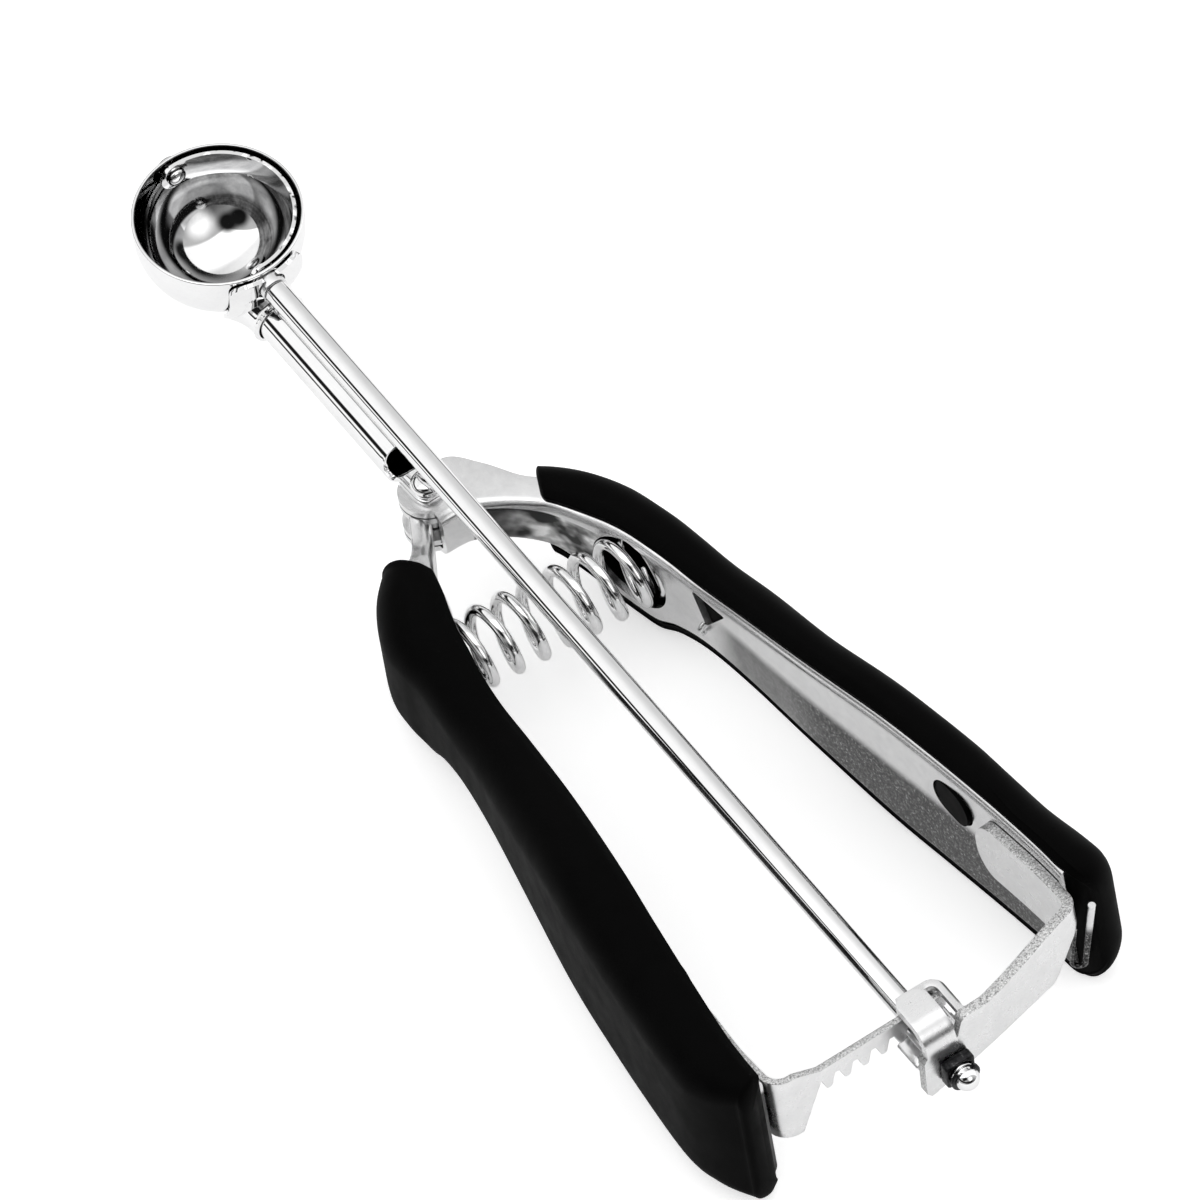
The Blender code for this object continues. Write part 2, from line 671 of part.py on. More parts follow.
def make_rod(blade_radius):
    """The rod, with a journal and peened nose in front and a clip groove and dome behind."""
    nose_plate = BOWL_CENTRE - blade_radius + BLADE_SHEET
    groove = -(ARM_PLATE_BACK + ARM_SHEET / 2 + REAR_BUSH_LENGTH + 2 * FIT)
    shoulder = -ROD_TAIL + ROD_RADIUS
    peen_rear = nose_plate + FIT
    peen_front = peen_rear + PEEN_LENGTH
    groove_rear = groove - CLIP_SHEET - 2 * FIT
    waist = ROD_RADIUS - GROOVE_DEPTH
    profile = [(0.0, peen_front), (PEEN_RADIUS * PEEN_TOP_SHARE, peen_front), (PEEN_RADIUS, peen_rear)]
    profile += [(JOURNAL_RADIUS, peen_rear), (JOURNAL_RADIUS, ROD_SHOULDER), (ROD_RADIUS, ROD_SHOULDER)]
    profile += [(ROD_RADIUS, groove), (waist, groove), (waist, groove_rear), (ROD_RADIUS, groove_rear)]
    profile += arc(0, shoulder, ROD_RADIUS, 0, -math.pi / 2, 5)
    profile[-1] = (0.0, -ROD_TAIL)
    rod = piece("shaft_rod", open_line("shaft_rod", profile), CHROME, shaft_axis, (0, 0, 0), ALONG_Y)
    turn(rod)
    bush_front = NOSE + FIT
    bush_rear = ROD_SHOULDER + FIT
    bore = JOURNAL_RADIUS + FIT
    outside = bore + BUSH_WALL
    wall = [(outside, bush_front), (outside, bush_rear), (bore, bush_rear), (bore, bush_front)]
    ring = closed_line("front_bushing", wall)
    turn(piece("front_bushing", ring, DARK_STEEL, shaft_axis, (0, 0, 0), ALONG_Y))
    make_rear_bushing()
    make_clip(groove)


def closed_line(name, points):
    """A closed profile for a turned ring."""
    mesh = bpy.data.meshes.new(name)
    count = len(points)
    mesh.from_pydata([(x, 0.0, z) for x, z in points], [(i, (i + 1) % count) for i in range(count)], [])
    return mesh


def make_rear_bushing():
    """A square bush behind the rear plate."""
    half = REAR_BUSH_HALF
    round_off = half / 4
    outline = []
    for i, (x, z) in enumerate(((1, 1), (-1, 1), (-1, -1), (1, -1))):
        outline += arc(x * (half - round_off), z * (half - round_off), round_off,
                       i * math.pi / 2, (i + 1) * math.pi / 2, 3)
    back = -(ARM_PLATE_BACK + ARM_SHEET / 2 + FIT + REAR_BUSH_LENGTH / 2)
    bush = piece("rear_bushing", plate("rear_bushing", outline, REAR_BUSH_LENGTH), DARK_STEEL, shaft_axis,
                 (0, back, 0), ALONG_Y)
    hole = cylinder("rear_bush_hole", ROD_RADIUS + FIT, REAR_BUSH_LENGTH + 2 * OVERRUN)
    combine(bush, guide("rear_bush_cut", hole, shaft_axis, (0, back, 0), ALONG_Y), "DIFFERENCE")


def make_clip(groove):
    """The E-clip that snaps into the rod's groove."""
    inner = ROD_RADIUS - GROOVE_DEPTH + FIT
    mouth = math.radians(38)
    outline = arc(0, 0, CLIP_RADIUS, -math.pi / 2 + mouth, 3 * math.pi / 2 - mouth, 18)
    outline += arc(0, 0, inner, 3 * math.pi / 2 - mouth, -math.pi / 2 + mouth, 14)
    place = (0, groove - FIT - CLIP_SHEET / 2, 0)
    piece("retaining_clip", plate("retaining_clip", outline, CLIP_SHEET), DARK_STEEL, shaft_axis,
          place, ALONG_Y)


def make_pinion():
    """Eight teeth on the rod, meeting the rack at the pitch circle."""
    tooth = math.pi / PINION_TEETH
    outline = []
    for i in range(PINION_TEETH):
        middle = math.pi / 2 + 2 * tooth * i
        for radius, share in PINION_TOOTH_SHARES:
            outline.append((radius, middle - tooth * share))
        for radius, share in reversed(PINION_TOOTH_SHARES):
            outline.append((radius, middle + tooth * share))
    points = [(radius * math.cos(a), radius * math.sin(a)) for radius, a in outline]
    middle = -(PINION_FRONT + PINION_LENGTH / 2)
    pinion = piece("pinion_gear", plate("pinion_gear", points, PINION_LENGTH), STAMPED_STEEL, shaft_axis,
                   (0, middle, 0), ALONG_Y)
    bore = cylinder("pinion_bore", ROD_RADIUS + FIT, PINION_LENGTH + 2 * OVERRUN)
    combine(pinion, guide("pinion_bore_cut", bore, shaft_axis, (0, middle, 0), ALONG_Y), "DIFFERENCE")


# Neck tube and bowl socket


def make_neck():
    """A tube under the rod whose lower half runs on and flattens into the hub tongue."""
    wall = [(NECK_RADIUS, NECK_FRONT), (NECK_RADIUS, NECK_BACK)]
    wall += [(NECK_RADIUS - NECK_WALL, NECK_BACK), (NECK_RADIUS - NECK_WALL, NECK_FRONT)]
    neck = piece("neck_tube", closed_line("neck_tube", wall), CHROME, shaft_axis, (0, 0, -NECK_DROP), ALONG_Y)
    turn(neck, 32)
    scoop = cylinder("neck_mouth", NECK_RADIUS - FIT, 4 * NECK_RADIUS, 32)
    mouth = guide("neck_mouth_cut", scoop, shaft_axis, (0, NECK_BACK, NECK_RADIUS - NECK_DROP), ALONG_X)
    combine(neck, mouth, "DIFFERENCE")
    middle = NECK_RADIUS - TONGUE_SHEET / 2 - NECK_WALL / 10
    rows = []
    for step in range(-1, 8):
        share = max(0.0, step / 7)
        blend = share * share * (3 - 2 * share)
        y = NECK_BACK - NECK_FLATTEN * (share if step >= 0 else -TONGUE_START_SHARE)
        row = []
        for i in range(13):
            a = math.pi / 2 * (i - 6) / 6
            round_point = Vector(tilted((middle * math.sin(a), y, -NECK_DROP - middle * math.cos(a))))
            flat_point = Vector((TONGUE_HALF_WIDTH * (i - 6) / 6, y, TONGUE_Z))
            row.append(tuple(round_point.lerp(flat_point, blend)))
        rows.append(row)
    for step in range(5):
        a = math.pi / 2 * step / 5
        y = -TONGUE_HALF_WIDTH * math.sin(a)
        rows.append([(TONGUE_HALF_WIDTH * math.cos(a) * (i - 6) / 6, y, TONGUE_Z) for i in range(13)])
    tongue = guide("neck_tongue", skin("neck_tongue", rows, closed=False), pivot)
    thicken(tongue, TONGUE_SHEET, 0.0)
    combine(neck, tongue, "UNION")
    hole = cylinder("tongue_hole", HUB_SHANK + FIT, 2 * HUB_HALF)
    combine(neck, guide("tongue_hole_cut", hole, pivot, (0, 0, TONGUE_Z)), "DIFFERENCE")


def bowl_envelope(name, radius, skirt):
    """The bowl's outside as a solid, grown to a radius."""
    profile = [(0.0, skirt), (radius, skirt)]
    profile += arc(0, 0, radius, 0, -math.pi / 2, BOWL_FACETS // 4)
    profile[-1] = (0.0, -radius)
    return open_line(name, profile)


def make_socket():
    """A plate hugging the bowl that flares back to a ring round the neck."""
    inner = BOWL_RADIUS + FIT
    outer = inner + SOCKET_SHEET
    socket = piece("bowl_socket", bowl_envelope("bowl_socket", outer, BOWL_SKIRT), CHROME, shaft_axis,
                   (0, BOWL_CENTRE, 0))
    turn(socket, BOWL_FACETS)
    corner = SOCKET_HALF_WIDTH / 2
    side = SOCKET_HALF_WIDTH - corner
    outline = arc(side, SOCKET_BOTTOM - corner, corner, 0, math.pi / 2, 4)
    outline += arc(-side, SOCKET_BOTTOM - corner, corner, math.pi / 2, math.pi, 4)
    outline += [(-SOCKET_HALF_WIDTH, -SOCKET_TOP), (SOCKET_HALF_WIDTH, -SOCKET_TOP)]
    prism = plate("socket_outline", outline, 2 * BOWL_CENTRE - 2 * SOCKET_RING + OVERRUN)
    trim = guide("socket_outline_cut", prism, shaft_axis, (0, BOWL_CENTRE, 0), ALONG_Y)
    combine(socket, trim, "INTERSECT")
    ring = NECK_RADIUS + FIT + NECK_WALL / 2
    front = BOWL_BACK + SOCKET_REACH
    run = front - SOCKET_RING
    profile = [(ring + (SOCKET_FLARE - ring) * (1 - i / 8) ** 2, front - run * i / 8) for i in range(9)]
    profile += [(NECK_RADIUS + FIT, SOCKET_RING), (NECK_RADIUS + FIT, front)]
    trumpet = closed_line("socket_flare", profile)
    flare = guide("socket_flare", trumpet, shaft_axis, (0, 0, -NECK_DROP), ALONG_Y)
    turn(flare, 32)
    combine(flare, trim, "INTERSECT")
    combine(socket, flare, "UNION")
    seat = guide("socket_seat", bowl_envelope("socket_seat", inner, BOWL_SKIRT + OVERRUN), shaft_axis,
                 (0, BOWL_CENTRE, 0))
    turn(seat, BOWL_FACETS)
    combine(socket, seat, "DIFFERENCE")
    reach = 2 * BOWL_RADIUS
    far_half = box("socket_front", (-reach, 0, -reach), (reach, reach, reach))
    combine(socket, guide("socket_front_cut", far_half, shaft_axis, (0, BOWL_CENTRE, 0)), "DIFFERENCE")
    hole = cylinder("socket_hole", JOURNAL_RADIUS + BUSH_WALL + 2 * FIT, BOWL_RADIUS)
    combine(socket, guide("socket_hole_cut", hole, shaft_axis, (0, NOSE, 0), ALONG_Y), "DIFFERENCE")


# Levers, grips and hub


def make_lever(name, rows, hand, ear_top, parent):
    """A stamped channel with round ears, a pivot hole and punched holes in its web."""
    lever = piece(name, skin(name, [channel(row, hand) for row in rows]), CHROME, parent)
    for level in (ear_top - LEVER_SHEET / 2, LEVER_SHEET / 2 - ear_top):
        ear = cylinder(name + "_ear", EAR_RADIUS, LEVER_SHEET, 32)
        combine(lever, guide(name + "_ear_join", ear, parent, (0, 0, level)), "UNION")
    bore = cylinder(name + "_bore", HUB_SHANK + FIT, 3 * HUB_HALF)
    combine(lever, guide(name + "_bore_cut", bore, parent), "DIFFERENCE")
    spring_side = hand * web_side(rows, spring_seat(hand))
    hole = cylinder(name + "_spring_hole", SPRING_HOLE, LEVER_FLANGE + 2 * OVERRUN, 32)
    seat = (spring_side, -spring_seat(hand), -SPRING_DROP)
    combine(lever, guide(name + "_spring_cut", hole, parent, seat, ALONG_X), "DIFFERENCE")
    peg_side = hand * web_side(rows, PEG_BACK)
    slot = plate(name + "_peg_hole", stadium(PEG_BACK, FIT), 2 * OVERRUN + LEVER_SHEET)
    combine(lever, guide(name + "_peg_cut", slot, parent, (peg_side, 0, 0), STANDING_YZ), "DIFFERENCE")
    notch_side = hand * web_side(rows, NOTCH_POINT)
    outline = [(-NOTCH_POINT, -NOTCH_DROP), (-NOTCH_FRONT, NOTCH_TOP), (-NOTCH_REAR, NOTCH_TOP)]
    notch = plate(name + "_notch", outline, 2 * OVERRUN + LEVER_SHEET)
    combine(lever, guide(name + "_notch_cut", notch, parent, (notch_side, 0, 0), STANDING_YZ), "DIFFERENCE")


def stadium(back, grow):
    """A long round-ended outline on the web."""
    radius = PEG_HALF_HEIGHT + grow
    reach = PEG_HALF_LENGTH - PEG_HALF_HEIGHT
    outline = arc(-back + reach, PEG_RISE, radius, -math.pi / 2, math.pi / 2, 8)
    outline += arc(-back - reach, PEG_RISE, radius, math.pi / 2, 3 * math.pi / 2, 8)
    return outline


def make_grip(name, rows, before, hand, spring_end, parent):
    """A rubber grip moulded over a lever, with the spring's pocket and a locking peg."""
    grip = piece(name, skin(name, grip_rings(rows, hand)), BLACK_RUBBER, parent)
    slots = [slot_section(row, hand) for row in (before, *rows, moved_on(rows, FIT))]
    combine(grip, guide(name + "_slot", skin(name + "_slot", slots), parent), "DIFFERENCE")
    inner = web_side(rows, spring_seat(hand)) - 2 * OVERRUN
    end = spring_end + FIT + (COIL_RADIUS + WIRE_RADIUS) * math.sin(SPRING_YAW)
    pocket = cylinder(name + "_pocket", SPRING_HOLE, end - inner, 32)
    place = (hand * (inner + end) / 2, -spring_seat(hand), -SPRING_DROP)
    combine(grip, guide(name + "_pocket_cut", pocket, parent, place, ALONG_X), "DIFFERENCE")
    side = web_side(rows, PEG_BACK)
    length = LEVER_SHEET + OVERRUN
    peg = plate(name + "_peg", stadium(PEG_BACK, 0), length)
    peg_x = hand * (side + length / 2 - FIT)
    combine(grip, guide(name + "_peg_join", peg, parent, (peg_x, 0, 0), STANDING_YZ), "UNION")


def make_hub():
    """The rivet through tongue and ears, and the spacer that keeps the ears apart."""
    top = TONGUE_Z + TONGUE_SHEET / 2 + FIT
    profile = [(HUB_DOME_RADIUS * math.sin(a), top + HUB_DOME_HEIGHT * math.cos(a))
               for a in (math.pi / 2 * i / 6 for i in range(7))]
    profile[0] = (0.0, top + HUB_DOME_HEIGHT)
    foot = -HUB_HALF - FIT
    under = foot - HUB_FOOT_HEIGHT
    profile += [(HUB_SHANK, top), (HUB_SHANK, foot), (HUB_FOOT_RADIUS, foot)]
    profile += [(HUB_FOOT_RADIUS, foot - HUB_FOOT_HEIGHT / 2), (HUB_FOOT_RADIUS * HUB_FOOT_SHARE, under)]
    profile += [(0.0, under)]
    rivet = piece("hub_rivet", open_line("hub_rivet", profile), CHROME, pivot)
    turn(rivet)
    half = EAR_TOP - LEVER_SHEET - FIT
    outer = HUB_SHANK + FIT + SPACER_WALL
    wall = [(outer, half), (outer, -half), (HUB_SHANK + FIT, -half), (HUB_SHANK + FIT, half)]
    spacer = piece("hub_spacer", closed_line("hub_spacer", wall), STAMPED_STEEL, pivot)
    turn(spacer)


# Rack and bracket


def make_rack_arm():
    """A stamped arm from the left lever that ends in a toothed rack over the pinion."""
    axis_height = tilted((0, -RACK_BACK, 0))[2]
    pitch_line = axis_height + PITCH_RADIUS
    tip = pitch_line - RACK_ADDENDUM
    root = pitch_line + RACK_DEDENDUM
    top = root + RACK_SPINE
    offset = FIT + RACK_SHEET / 2
    leg_backs = [RACK_LEG_FRONT + RACK_LEG_LENGTH * i / 4 for i in range(5)]
    path = [(offset - web_side(LEFT_ROWS, back), -back) for back in leg_backs]
    half = RACK_PITCH / 4 - RACK_BACKLASH / 4
    tip_half = half - RACK_ADDENDUM * math.tan(RACK_SLOPE)
    root_half = half + RACK_DEDENDUM * math.tan(RACK_SLOPE)
    first = RACK_PITCH * (1.5 - RACK_TEETH) - root_half
    corner = (path[-1][0], -RACK_BACK)
    bend = bent_path([path[-1], corner, (first - RACK_FOOT, -RACK_BACK)], [RACK_BEND], 5)[1:]
    path += bend
    lows = [-RACK_LEG_BOTTOM] * len(path)
    highs = [RACK_LEG_TOP] * len(path)
    lows[0] = 0.0
    for i in range(len(leg_backs)):
        highs[i] -= RACK_LEG_BOTTOM * (1 - i / len(leg_backs))
    for i in range(RACK_TEETH):
        centre = RACK_PITCH * (1.5 - RACK_TEETH + i)
        path += [(centre - root_half, -RACK_BACK), (centre - tip_half, -RACK_BACK)]
        path += [(centre + tip_half, -RACK_BACK), (centre + root_half, -RACK_BACK)]
        lows += [root, tip, tip, root]
        highs += [top] * 4
    mesh = sheet("rack_arm", path, lows, highs, [0.0] * len(path), 0.0)
    thicken(piece("rack_arm", mesh, STAMPED_STEEL, left_side), RACK_SHEET, 0.0)


def make_bracket():
    """The right lever's arm: a leg on the web, a rear plate, a hood and a front plate round the rod."""
    x, plate_y, axis_height = tilted((0, -ARM_PLATE_BACK, 0))
    offset = FIT + ARM_SHEET / 2
    middle = (ARM_LEG_TOP - ARM_LEG_BOTTOM) / 2
    half = (ARM_LEG_TOP + ARM_LEG_BOTTOM) / 2
    path = []
    lows = []
    highs = []
    for i in range(1, 6):
        a = math.pi / 2 * i / 5
        back = ARM_LEG_FRONT + ARM_NOSE * (1 - math.cos(a))
        path.append((web_side(RIGHT_ROWS, back) - offset, -back))
        lows.append(middle - half * math.sin(a))
        highs.append(middle + half * math.sin(a))
    for i in range(1, 4):
        back = ARM_LEG_FRONT + ARM_NOSE + (ARM_LEG_LENGTH - ARM_NOSE) * i / 3
        path.append((web_side(RIGHT_ROWS, back) - offset, -back))
        lows.append(-ARM_LEG_BOTTOM)
        highs.append(ARM_LEG_TOP)
    elbow = (path[-1][0], -ARM_CORNER_BACK)
    knee = (ARM_KNEE, plate_y)
    run = bent_path([path[-1], elbow, knee, (-ARM_PLATE_END, plate_y)], [ARM_BEND, 2 * ARM_BEND], 4)[1:-1]
    run += [(ARM_PLATE_END * i / 2, plate_y) for i in (1, 0, -1, -2)]
    leans = [0.0] * len(path)
    low_plate = axis_height - ARM_PLATE_BOTTOM
    high_plate = axis_height + ARM_PLATE_TOP
    low_tip = axis_height - ARM_TIP_DROP
    for place in run:
        share = min(1.0, max(0.0, (elbow[0] - place[0]) / (elbow[0] - knee[0])))
        down = min(1.0, max(0.0, (knee[0] - place[0]) / (knee[0] + ARM_PLATE_END)))
        leans.append(share)
        lows.append(-ARM_LEG_BOTTOM + (low_plate + ARM_LEG_BOTTOM) * share + (low_tip - low_plate) * down)
        highs.append(ARM_LEG_TOP + (high_plate - ARM_LEG_TOP) * share)
    mesh = sheet("arm_bracket", path + run, lows, highs, leans, axis_height)
    bracket = piece("arm_bracket", mesh, STAMPED_STEEL, pivot)
    thicken(bracket, ARM_SHEET, 0.0)
    hood_half = (HOOD_LEFT + HOOD_RIGHT) / 2
    hood_x = (HOOD_RIGHT - HOOD_LEFT) / 2
    outline = arc(hood_x, -BOX_FRONT - hood_half, hood_half, 0, math.pi, 8)
    outline += [(-HOOD_LEFT, -ARM_PLATE_BACK), (HOOD_RIGHT, -ARM_PLATE_BACK)]
    hood = plate("bracket_hood", outline, ARM_SHEET)
    hood_z = ARM_PLATE_TOP - ARM_SHEET / 2 - FIT / 4
    combine(bracket, guide("bracket_hood_join", hood, shaft_axis, (0, 0, hood_z)), "UNION")
    front_y = -BOX_FRONT - ARM_SHEET / 2
    plan = bent_path([(-BOX_LEFT, front_y), (BOX_SIDE, front_y), (BOX_SIDE, -ARM_PLATE_BACK)], [BOX_BEND], 4)
    count = len(plan)
    tops = [ARM_PLATE_TOP - ARM_SHEET / 4] * count
    wall = sheet("bracket_box", plan, [-BOX_LEFT] * count, tops, [0.0] * count, 0.0)
    box_wall = guide("bracket_box_join", wall, shaft_axis)
    thicken(box_wall, ARM_SHEET, 0.0)
    combine(bracket, box_wall, "UNION")
    rear = -ARM_PLATE_BACK + ARM_SHEET / 2 + FIT / 3
    front = -BOX_FRONT - ARM_SHEET - FIT / 3
    rack_top = PITCH_RADIUS + RACK_DEDENDUM + RACK_SPINE
    window = box("bracket_window", (BOX_SIDE - 2 * ARM_SHEET, rear, -2 * ARM_PLATE_TOP),
                 (BOX_SIDE + 2 * ARM_SHEET, front, rack_top + 2 * FIT))
    combine(bracket, guide("bracket_window_cut", window, shaft_axis), "DIFFERENCE")
    hole = cylinder("bracket_rod_hole", ROD_RADIUS + FIT, 2 * (ARM_PLATE_BACK - BOX_FRONT))
    middle_y = -(ARM_PLATE_BACK + BOX_FRONT) / 2
    combine(bracket, guide("bracket_rod_cut", hole, shaft_axis, (0, middle_y, 0), ALONG_Y), "DIFFERENCE")


# Spring


def make_spring():
    """An open coil between the grips, with its end turns drawn close and short straight ends."""
    stub = 2 * WIRE_RADIUS
    length = SPRING_LEFT + SPRING_RIGHT
    pitch = (length - 2 * stub - 2 * COIL_END_PITCH) / (COIL_TURNS - 2)
    points = [(-SPRING_LEFT, 0.0)]
    along = -SPRING_LEFT + stub
    points.append((along, 0.0))
    for i in range(1, COIL_TURNS * COIL_POINTS + 1):
        place = i / COIL_POINTS
        end_turn = place <= 1 or place > COIL_TURNS - 1
        along += (COIL_END_PITCH if end_turn else pitch) / COIL_POINTS
        points.append((along, math.tau * place))
    points.append((SPRING_RIGHT, math.tau * COIL_TURNS))
    route = [Vector((x, COIL_RADIUS * math.cos(COIL_START + a), COIL_RADIUS * math.sin(COIL_START + a)))
             for x, a in points]
    curve = bpy.data.curves.new("compression_spring", "CURVE")
    curve.dimensions = "3D"
    curve.bevel_depth = WIRE_RADIUS
    curve.bevel_resolution = 1
    curve.use_fill_caps = True
    spline = curve.splines.new("POLY")
    spline.points.add(len(route) - 1)
    for point, place in zip(spline.points, route):
        point.co = (*place, 1.0)
    piece("compression_spring", solid_mesh("compression_spring", curve), SPRING_STEEL, pivot,
          (0, -SPRING_BACK, -SPRING_DROP), (0, 0, -SPRING_YAW))
    least = min((one - other).length for i, one in enumerate(route) for other in route[i + COIL_POINTS // 2:])
    print("spring's least gap to itself:", round((least - 2 * WIRE_RADIUS) / MM, 2), "mm")


make_bowl()
BLADE_RADIUS = make_blade()
make_blade_rivet(BLADE_RADIUS)
make_rod(BLADE_RADIUS)
make_pinion()
make_neck()
make_socket()
make_lever("right_lever", RIGHT_ROWS, 1, HUB_HALF, pivot)
make_lever("left_lever", LEFT_ROWS, -1, EAR_TOP, left_side)
make_grip("right_grip", RIGHT_GRIP_ROWS, RIGHT_ROWS[-len(RIGHT_GRIP_ROWS) - 1], 1, SPRING_RIGHT, pivot)
make_grip("left_grip", LEFT_GRIP_ROWS, LEFT_ROWS[-len(LEFT_GRIP_ROWS) - 1], -1, SPRING_LEFT, left_side)
make_hub()
make_rack_arm()
make_bracket()
make_spring()
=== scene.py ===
"""Looks of the cookie scoop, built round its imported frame. Shapes are in millimetres in the two
frames of the CAD: the lever frame, z from the middle of the hub, and the rod's own frame."""

import json
import math

import bmesh
import bpy
from mathutils import Matrix, Vector


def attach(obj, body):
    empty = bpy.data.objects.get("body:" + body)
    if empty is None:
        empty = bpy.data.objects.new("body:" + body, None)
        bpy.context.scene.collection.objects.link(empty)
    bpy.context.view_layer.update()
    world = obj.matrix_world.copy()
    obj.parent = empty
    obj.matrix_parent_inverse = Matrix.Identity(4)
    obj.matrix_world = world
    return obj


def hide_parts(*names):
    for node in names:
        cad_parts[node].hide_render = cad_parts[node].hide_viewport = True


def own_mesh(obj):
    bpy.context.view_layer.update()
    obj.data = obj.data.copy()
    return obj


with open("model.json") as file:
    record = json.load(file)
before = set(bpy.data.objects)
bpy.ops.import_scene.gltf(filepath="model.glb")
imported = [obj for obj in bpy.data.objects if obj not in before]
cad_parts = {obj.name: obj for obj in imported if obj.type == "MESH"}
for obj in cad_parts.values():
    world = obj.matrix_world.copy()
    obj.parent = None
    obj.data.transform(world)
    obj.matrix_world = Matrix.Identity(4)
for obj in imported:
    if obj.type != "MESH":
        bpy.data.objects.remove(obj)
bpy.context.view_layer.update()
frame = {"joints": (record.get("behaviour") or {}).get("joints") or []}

MM = 0.001
TILT = math.radians(5.5)
RISE = 12.5
JOINTS = {joint["name"]: joint for joint in frame["joints"]}
HINGE = JOINTS["handle_squeeze"]["pos_m"]
LEVERS = Matrix.Translation(HINGE) @ Matrix.Scale(MM, 4)
ROD = (Matrix.Translation(JOINTS["blade_sweep"]["pos_m"]) @ Matrix.Rotation(TILT, 4, "X")
       @ Matrix.Scale(MM, 4))
ALONG_Y = Matrix.Rotation(-math.pi / 2, 4, "X")
ALONG_X = Matrix.Rotation(math.pi / 2, 4, "Y")
STANDING_YZ = Matrix.Rotation(math.pi / 2, 4, "Z") @ Matrix.Rotation(math.pi / 2, 4, "X")

# Sizes in mm: the CAD's, or the photo's where the neck, socket and grips depart from the solids
FIT = 0.3
BOWL_RADIUS = 13.5
BOWL_SKIRT = 3.0
BOWL_CENTRE = 56.3
BOWL_INNER = 12.9
BLADE_GAP = 0.35
NOSE = BOWL_CENTRE - BOWL_INNER
TAIL = BOWL_CENTRE + BOWL_INNER
BLADE_WIDTH = 5.2
BLADE_SHEET = 0.6
BLADE_RADIUS = math.sqrt((BOWL_INNER - BLADE_GAP) ** 2 - (BLADE_WIDTH / 2) ** 2)
ROD_RADIUS = 2.0
JOURNAL_RADIUS = 1.3
ARM_PLATE_BACK = 140.5
ROD_TAIL = 146.6
ROD_SHOULDER = 40.6
BORE_PLAY = 0.2
ROD_BORE = ROD_RADIUS + BORE_PLAY
JOURNAL_BORE = 2.5
PIVOT_BORE = 1.3
EYELET_BORE = 1.6
NECK_RADIUS = 3.75
NECK_DROP = 7.65
NECK_CLOSED = 7.9
NECK_BACK = 6.6
NECK_FLATTEN = 2.6
NECK_FRONT = 41.0
NECK_SHEET = 0.75
MOUTH_TURN = 1.45
TONGUE_HALF_WIDTH = 2.6
TONGUE_FLARE = 0.9
TONGUE_SEAT = 0.1
SOCKET_SHEET = 0.8
SOCKET_HALF_WIDTH = 6.7
SOCKET_TOP = 2.2
SOCKET_BOTTOM = 11.7
SOCKET_RING = 41.6
SOCKET_CORNER = 5.0
SOCKET_UPPER_CORNER = 1.6
SOCKET_FLARE = 9.4
SOCKET_REACH = 4.2
LEVER_SHEET = 1.1
LEVER_REACH = 140.0
LEVER_SIDE = 29.0
LEVER_HALF = 12.5
LEVER_FLANGE = 7.5
LEVER_BEND = 1.9
HUB_HALF = 4.6
EAR_TOP = 3.2
EAR_RADIUS = 4.9
HUB_BORE = 1.7
HUB_DOME_RADIUS = 2.75
HUB_DOME_HEIGHT = 2.1
HUB_SHANK = 1.5
HUB_FOOT_RADIUS = 2.7
HUB_FOOT_HEIGHT = 1.1
GRIP_DEPTH = 9.6
GRIP_PROUD = 2.0
GRIP_LIP = 0.8
GRIP_ROUND = 5.6
RIGHT_TAIL = 6.2
RIGHT_TAIL_MIDDLE = 4.4
LEFT_TAIL = 1.4
GRIP_SHOULDER = 2.0
SPRING_BACK = 27.3
SPRING_DROP = 1.8
SPRING_HOLE = 7.1
PEG_BACK = 104.6
PEG_RISE = 5.8
PEG_HALF_LENGTH = 4.3
PEG_HALF_HEIGHT = 3.4
WIRE_RADIUS = 0.95
COIL_RADIUS = 5.55
COIL_TURNS = 9
COIL_END_PITCH = 2.97
COIL_START = math.radians(213)
SPRING_YAW = math.radians(5.2)
SPRING_LEFT = 19.4
SPRING_RIGHT = 22.4
POCKET_SWING = 2.0
NOTCH_FRONT = 43.2
NOTCH_REAR = 51.0
NOTCH_POINT = 45.6
NOTCH_TOP = 4.8
NOTCH_DROP = 1.8
RACK_PITCH = 3.4
RACK_TEETH = 7
RACK_SHEET = 1.2
RACK_BACK = 135.4
RACK_ADDENDUM = 1.05
RACK_DEDENDUM = 1.35
RACK_SPINE = 2.6
RACK_BEND = 3.0
RACK_BACKLASH = 0.3
RACK_SLOPE = math.radians(20)
RACK_FOOT = 4.4
RACK_LEG_FRONT = 112.0
RACK_LEG_LENGTH = 16.0
RACK_LEG_TOP = 9.6
RACK_LEG_BOTTOM = 3.6
PINION_TEETH = 8
PINION_FRONT = 133.2
PINION_LENGTH = 5.4
ARM_SHEET = 1.3
ARM_GAUGE = 1.8
ARM_LEG_FRONT = 112.0
ARM_NOSE = 4.0
ARM_LEG_LENGTH = 19.0
ARM_LEG_TOP = 10.2
ARM_LEG_BOTTOM = 1.6
ARM_CORNER_BACK = 136.0
ARM_KNEE = 6.8
ARM_PLATE_END = 5.2
ARM_PLATE_TOP = 10.1
ARM_PLATE_BOTTOM = 0.9
ARM_TIP_DROP = 5.4
ARM_BEND = 2.4
ARM_KNEE_BEND = 4.8
BOX_FRONT = 131.6
BOX_LEFT = 3.6
BOX_BOTTOM = 3.6
BOX_SIDE = 3.3
BOX_TOP = 9.775
BOX_BEND = 1.8
HOOD_FRONT = BOX_FRONT + 0.2
HOOD_RISE = 9.375
HOOD_FOOT = 4.6
HOOD_BEND = 3.6
HOOD_SHEET = 1.5

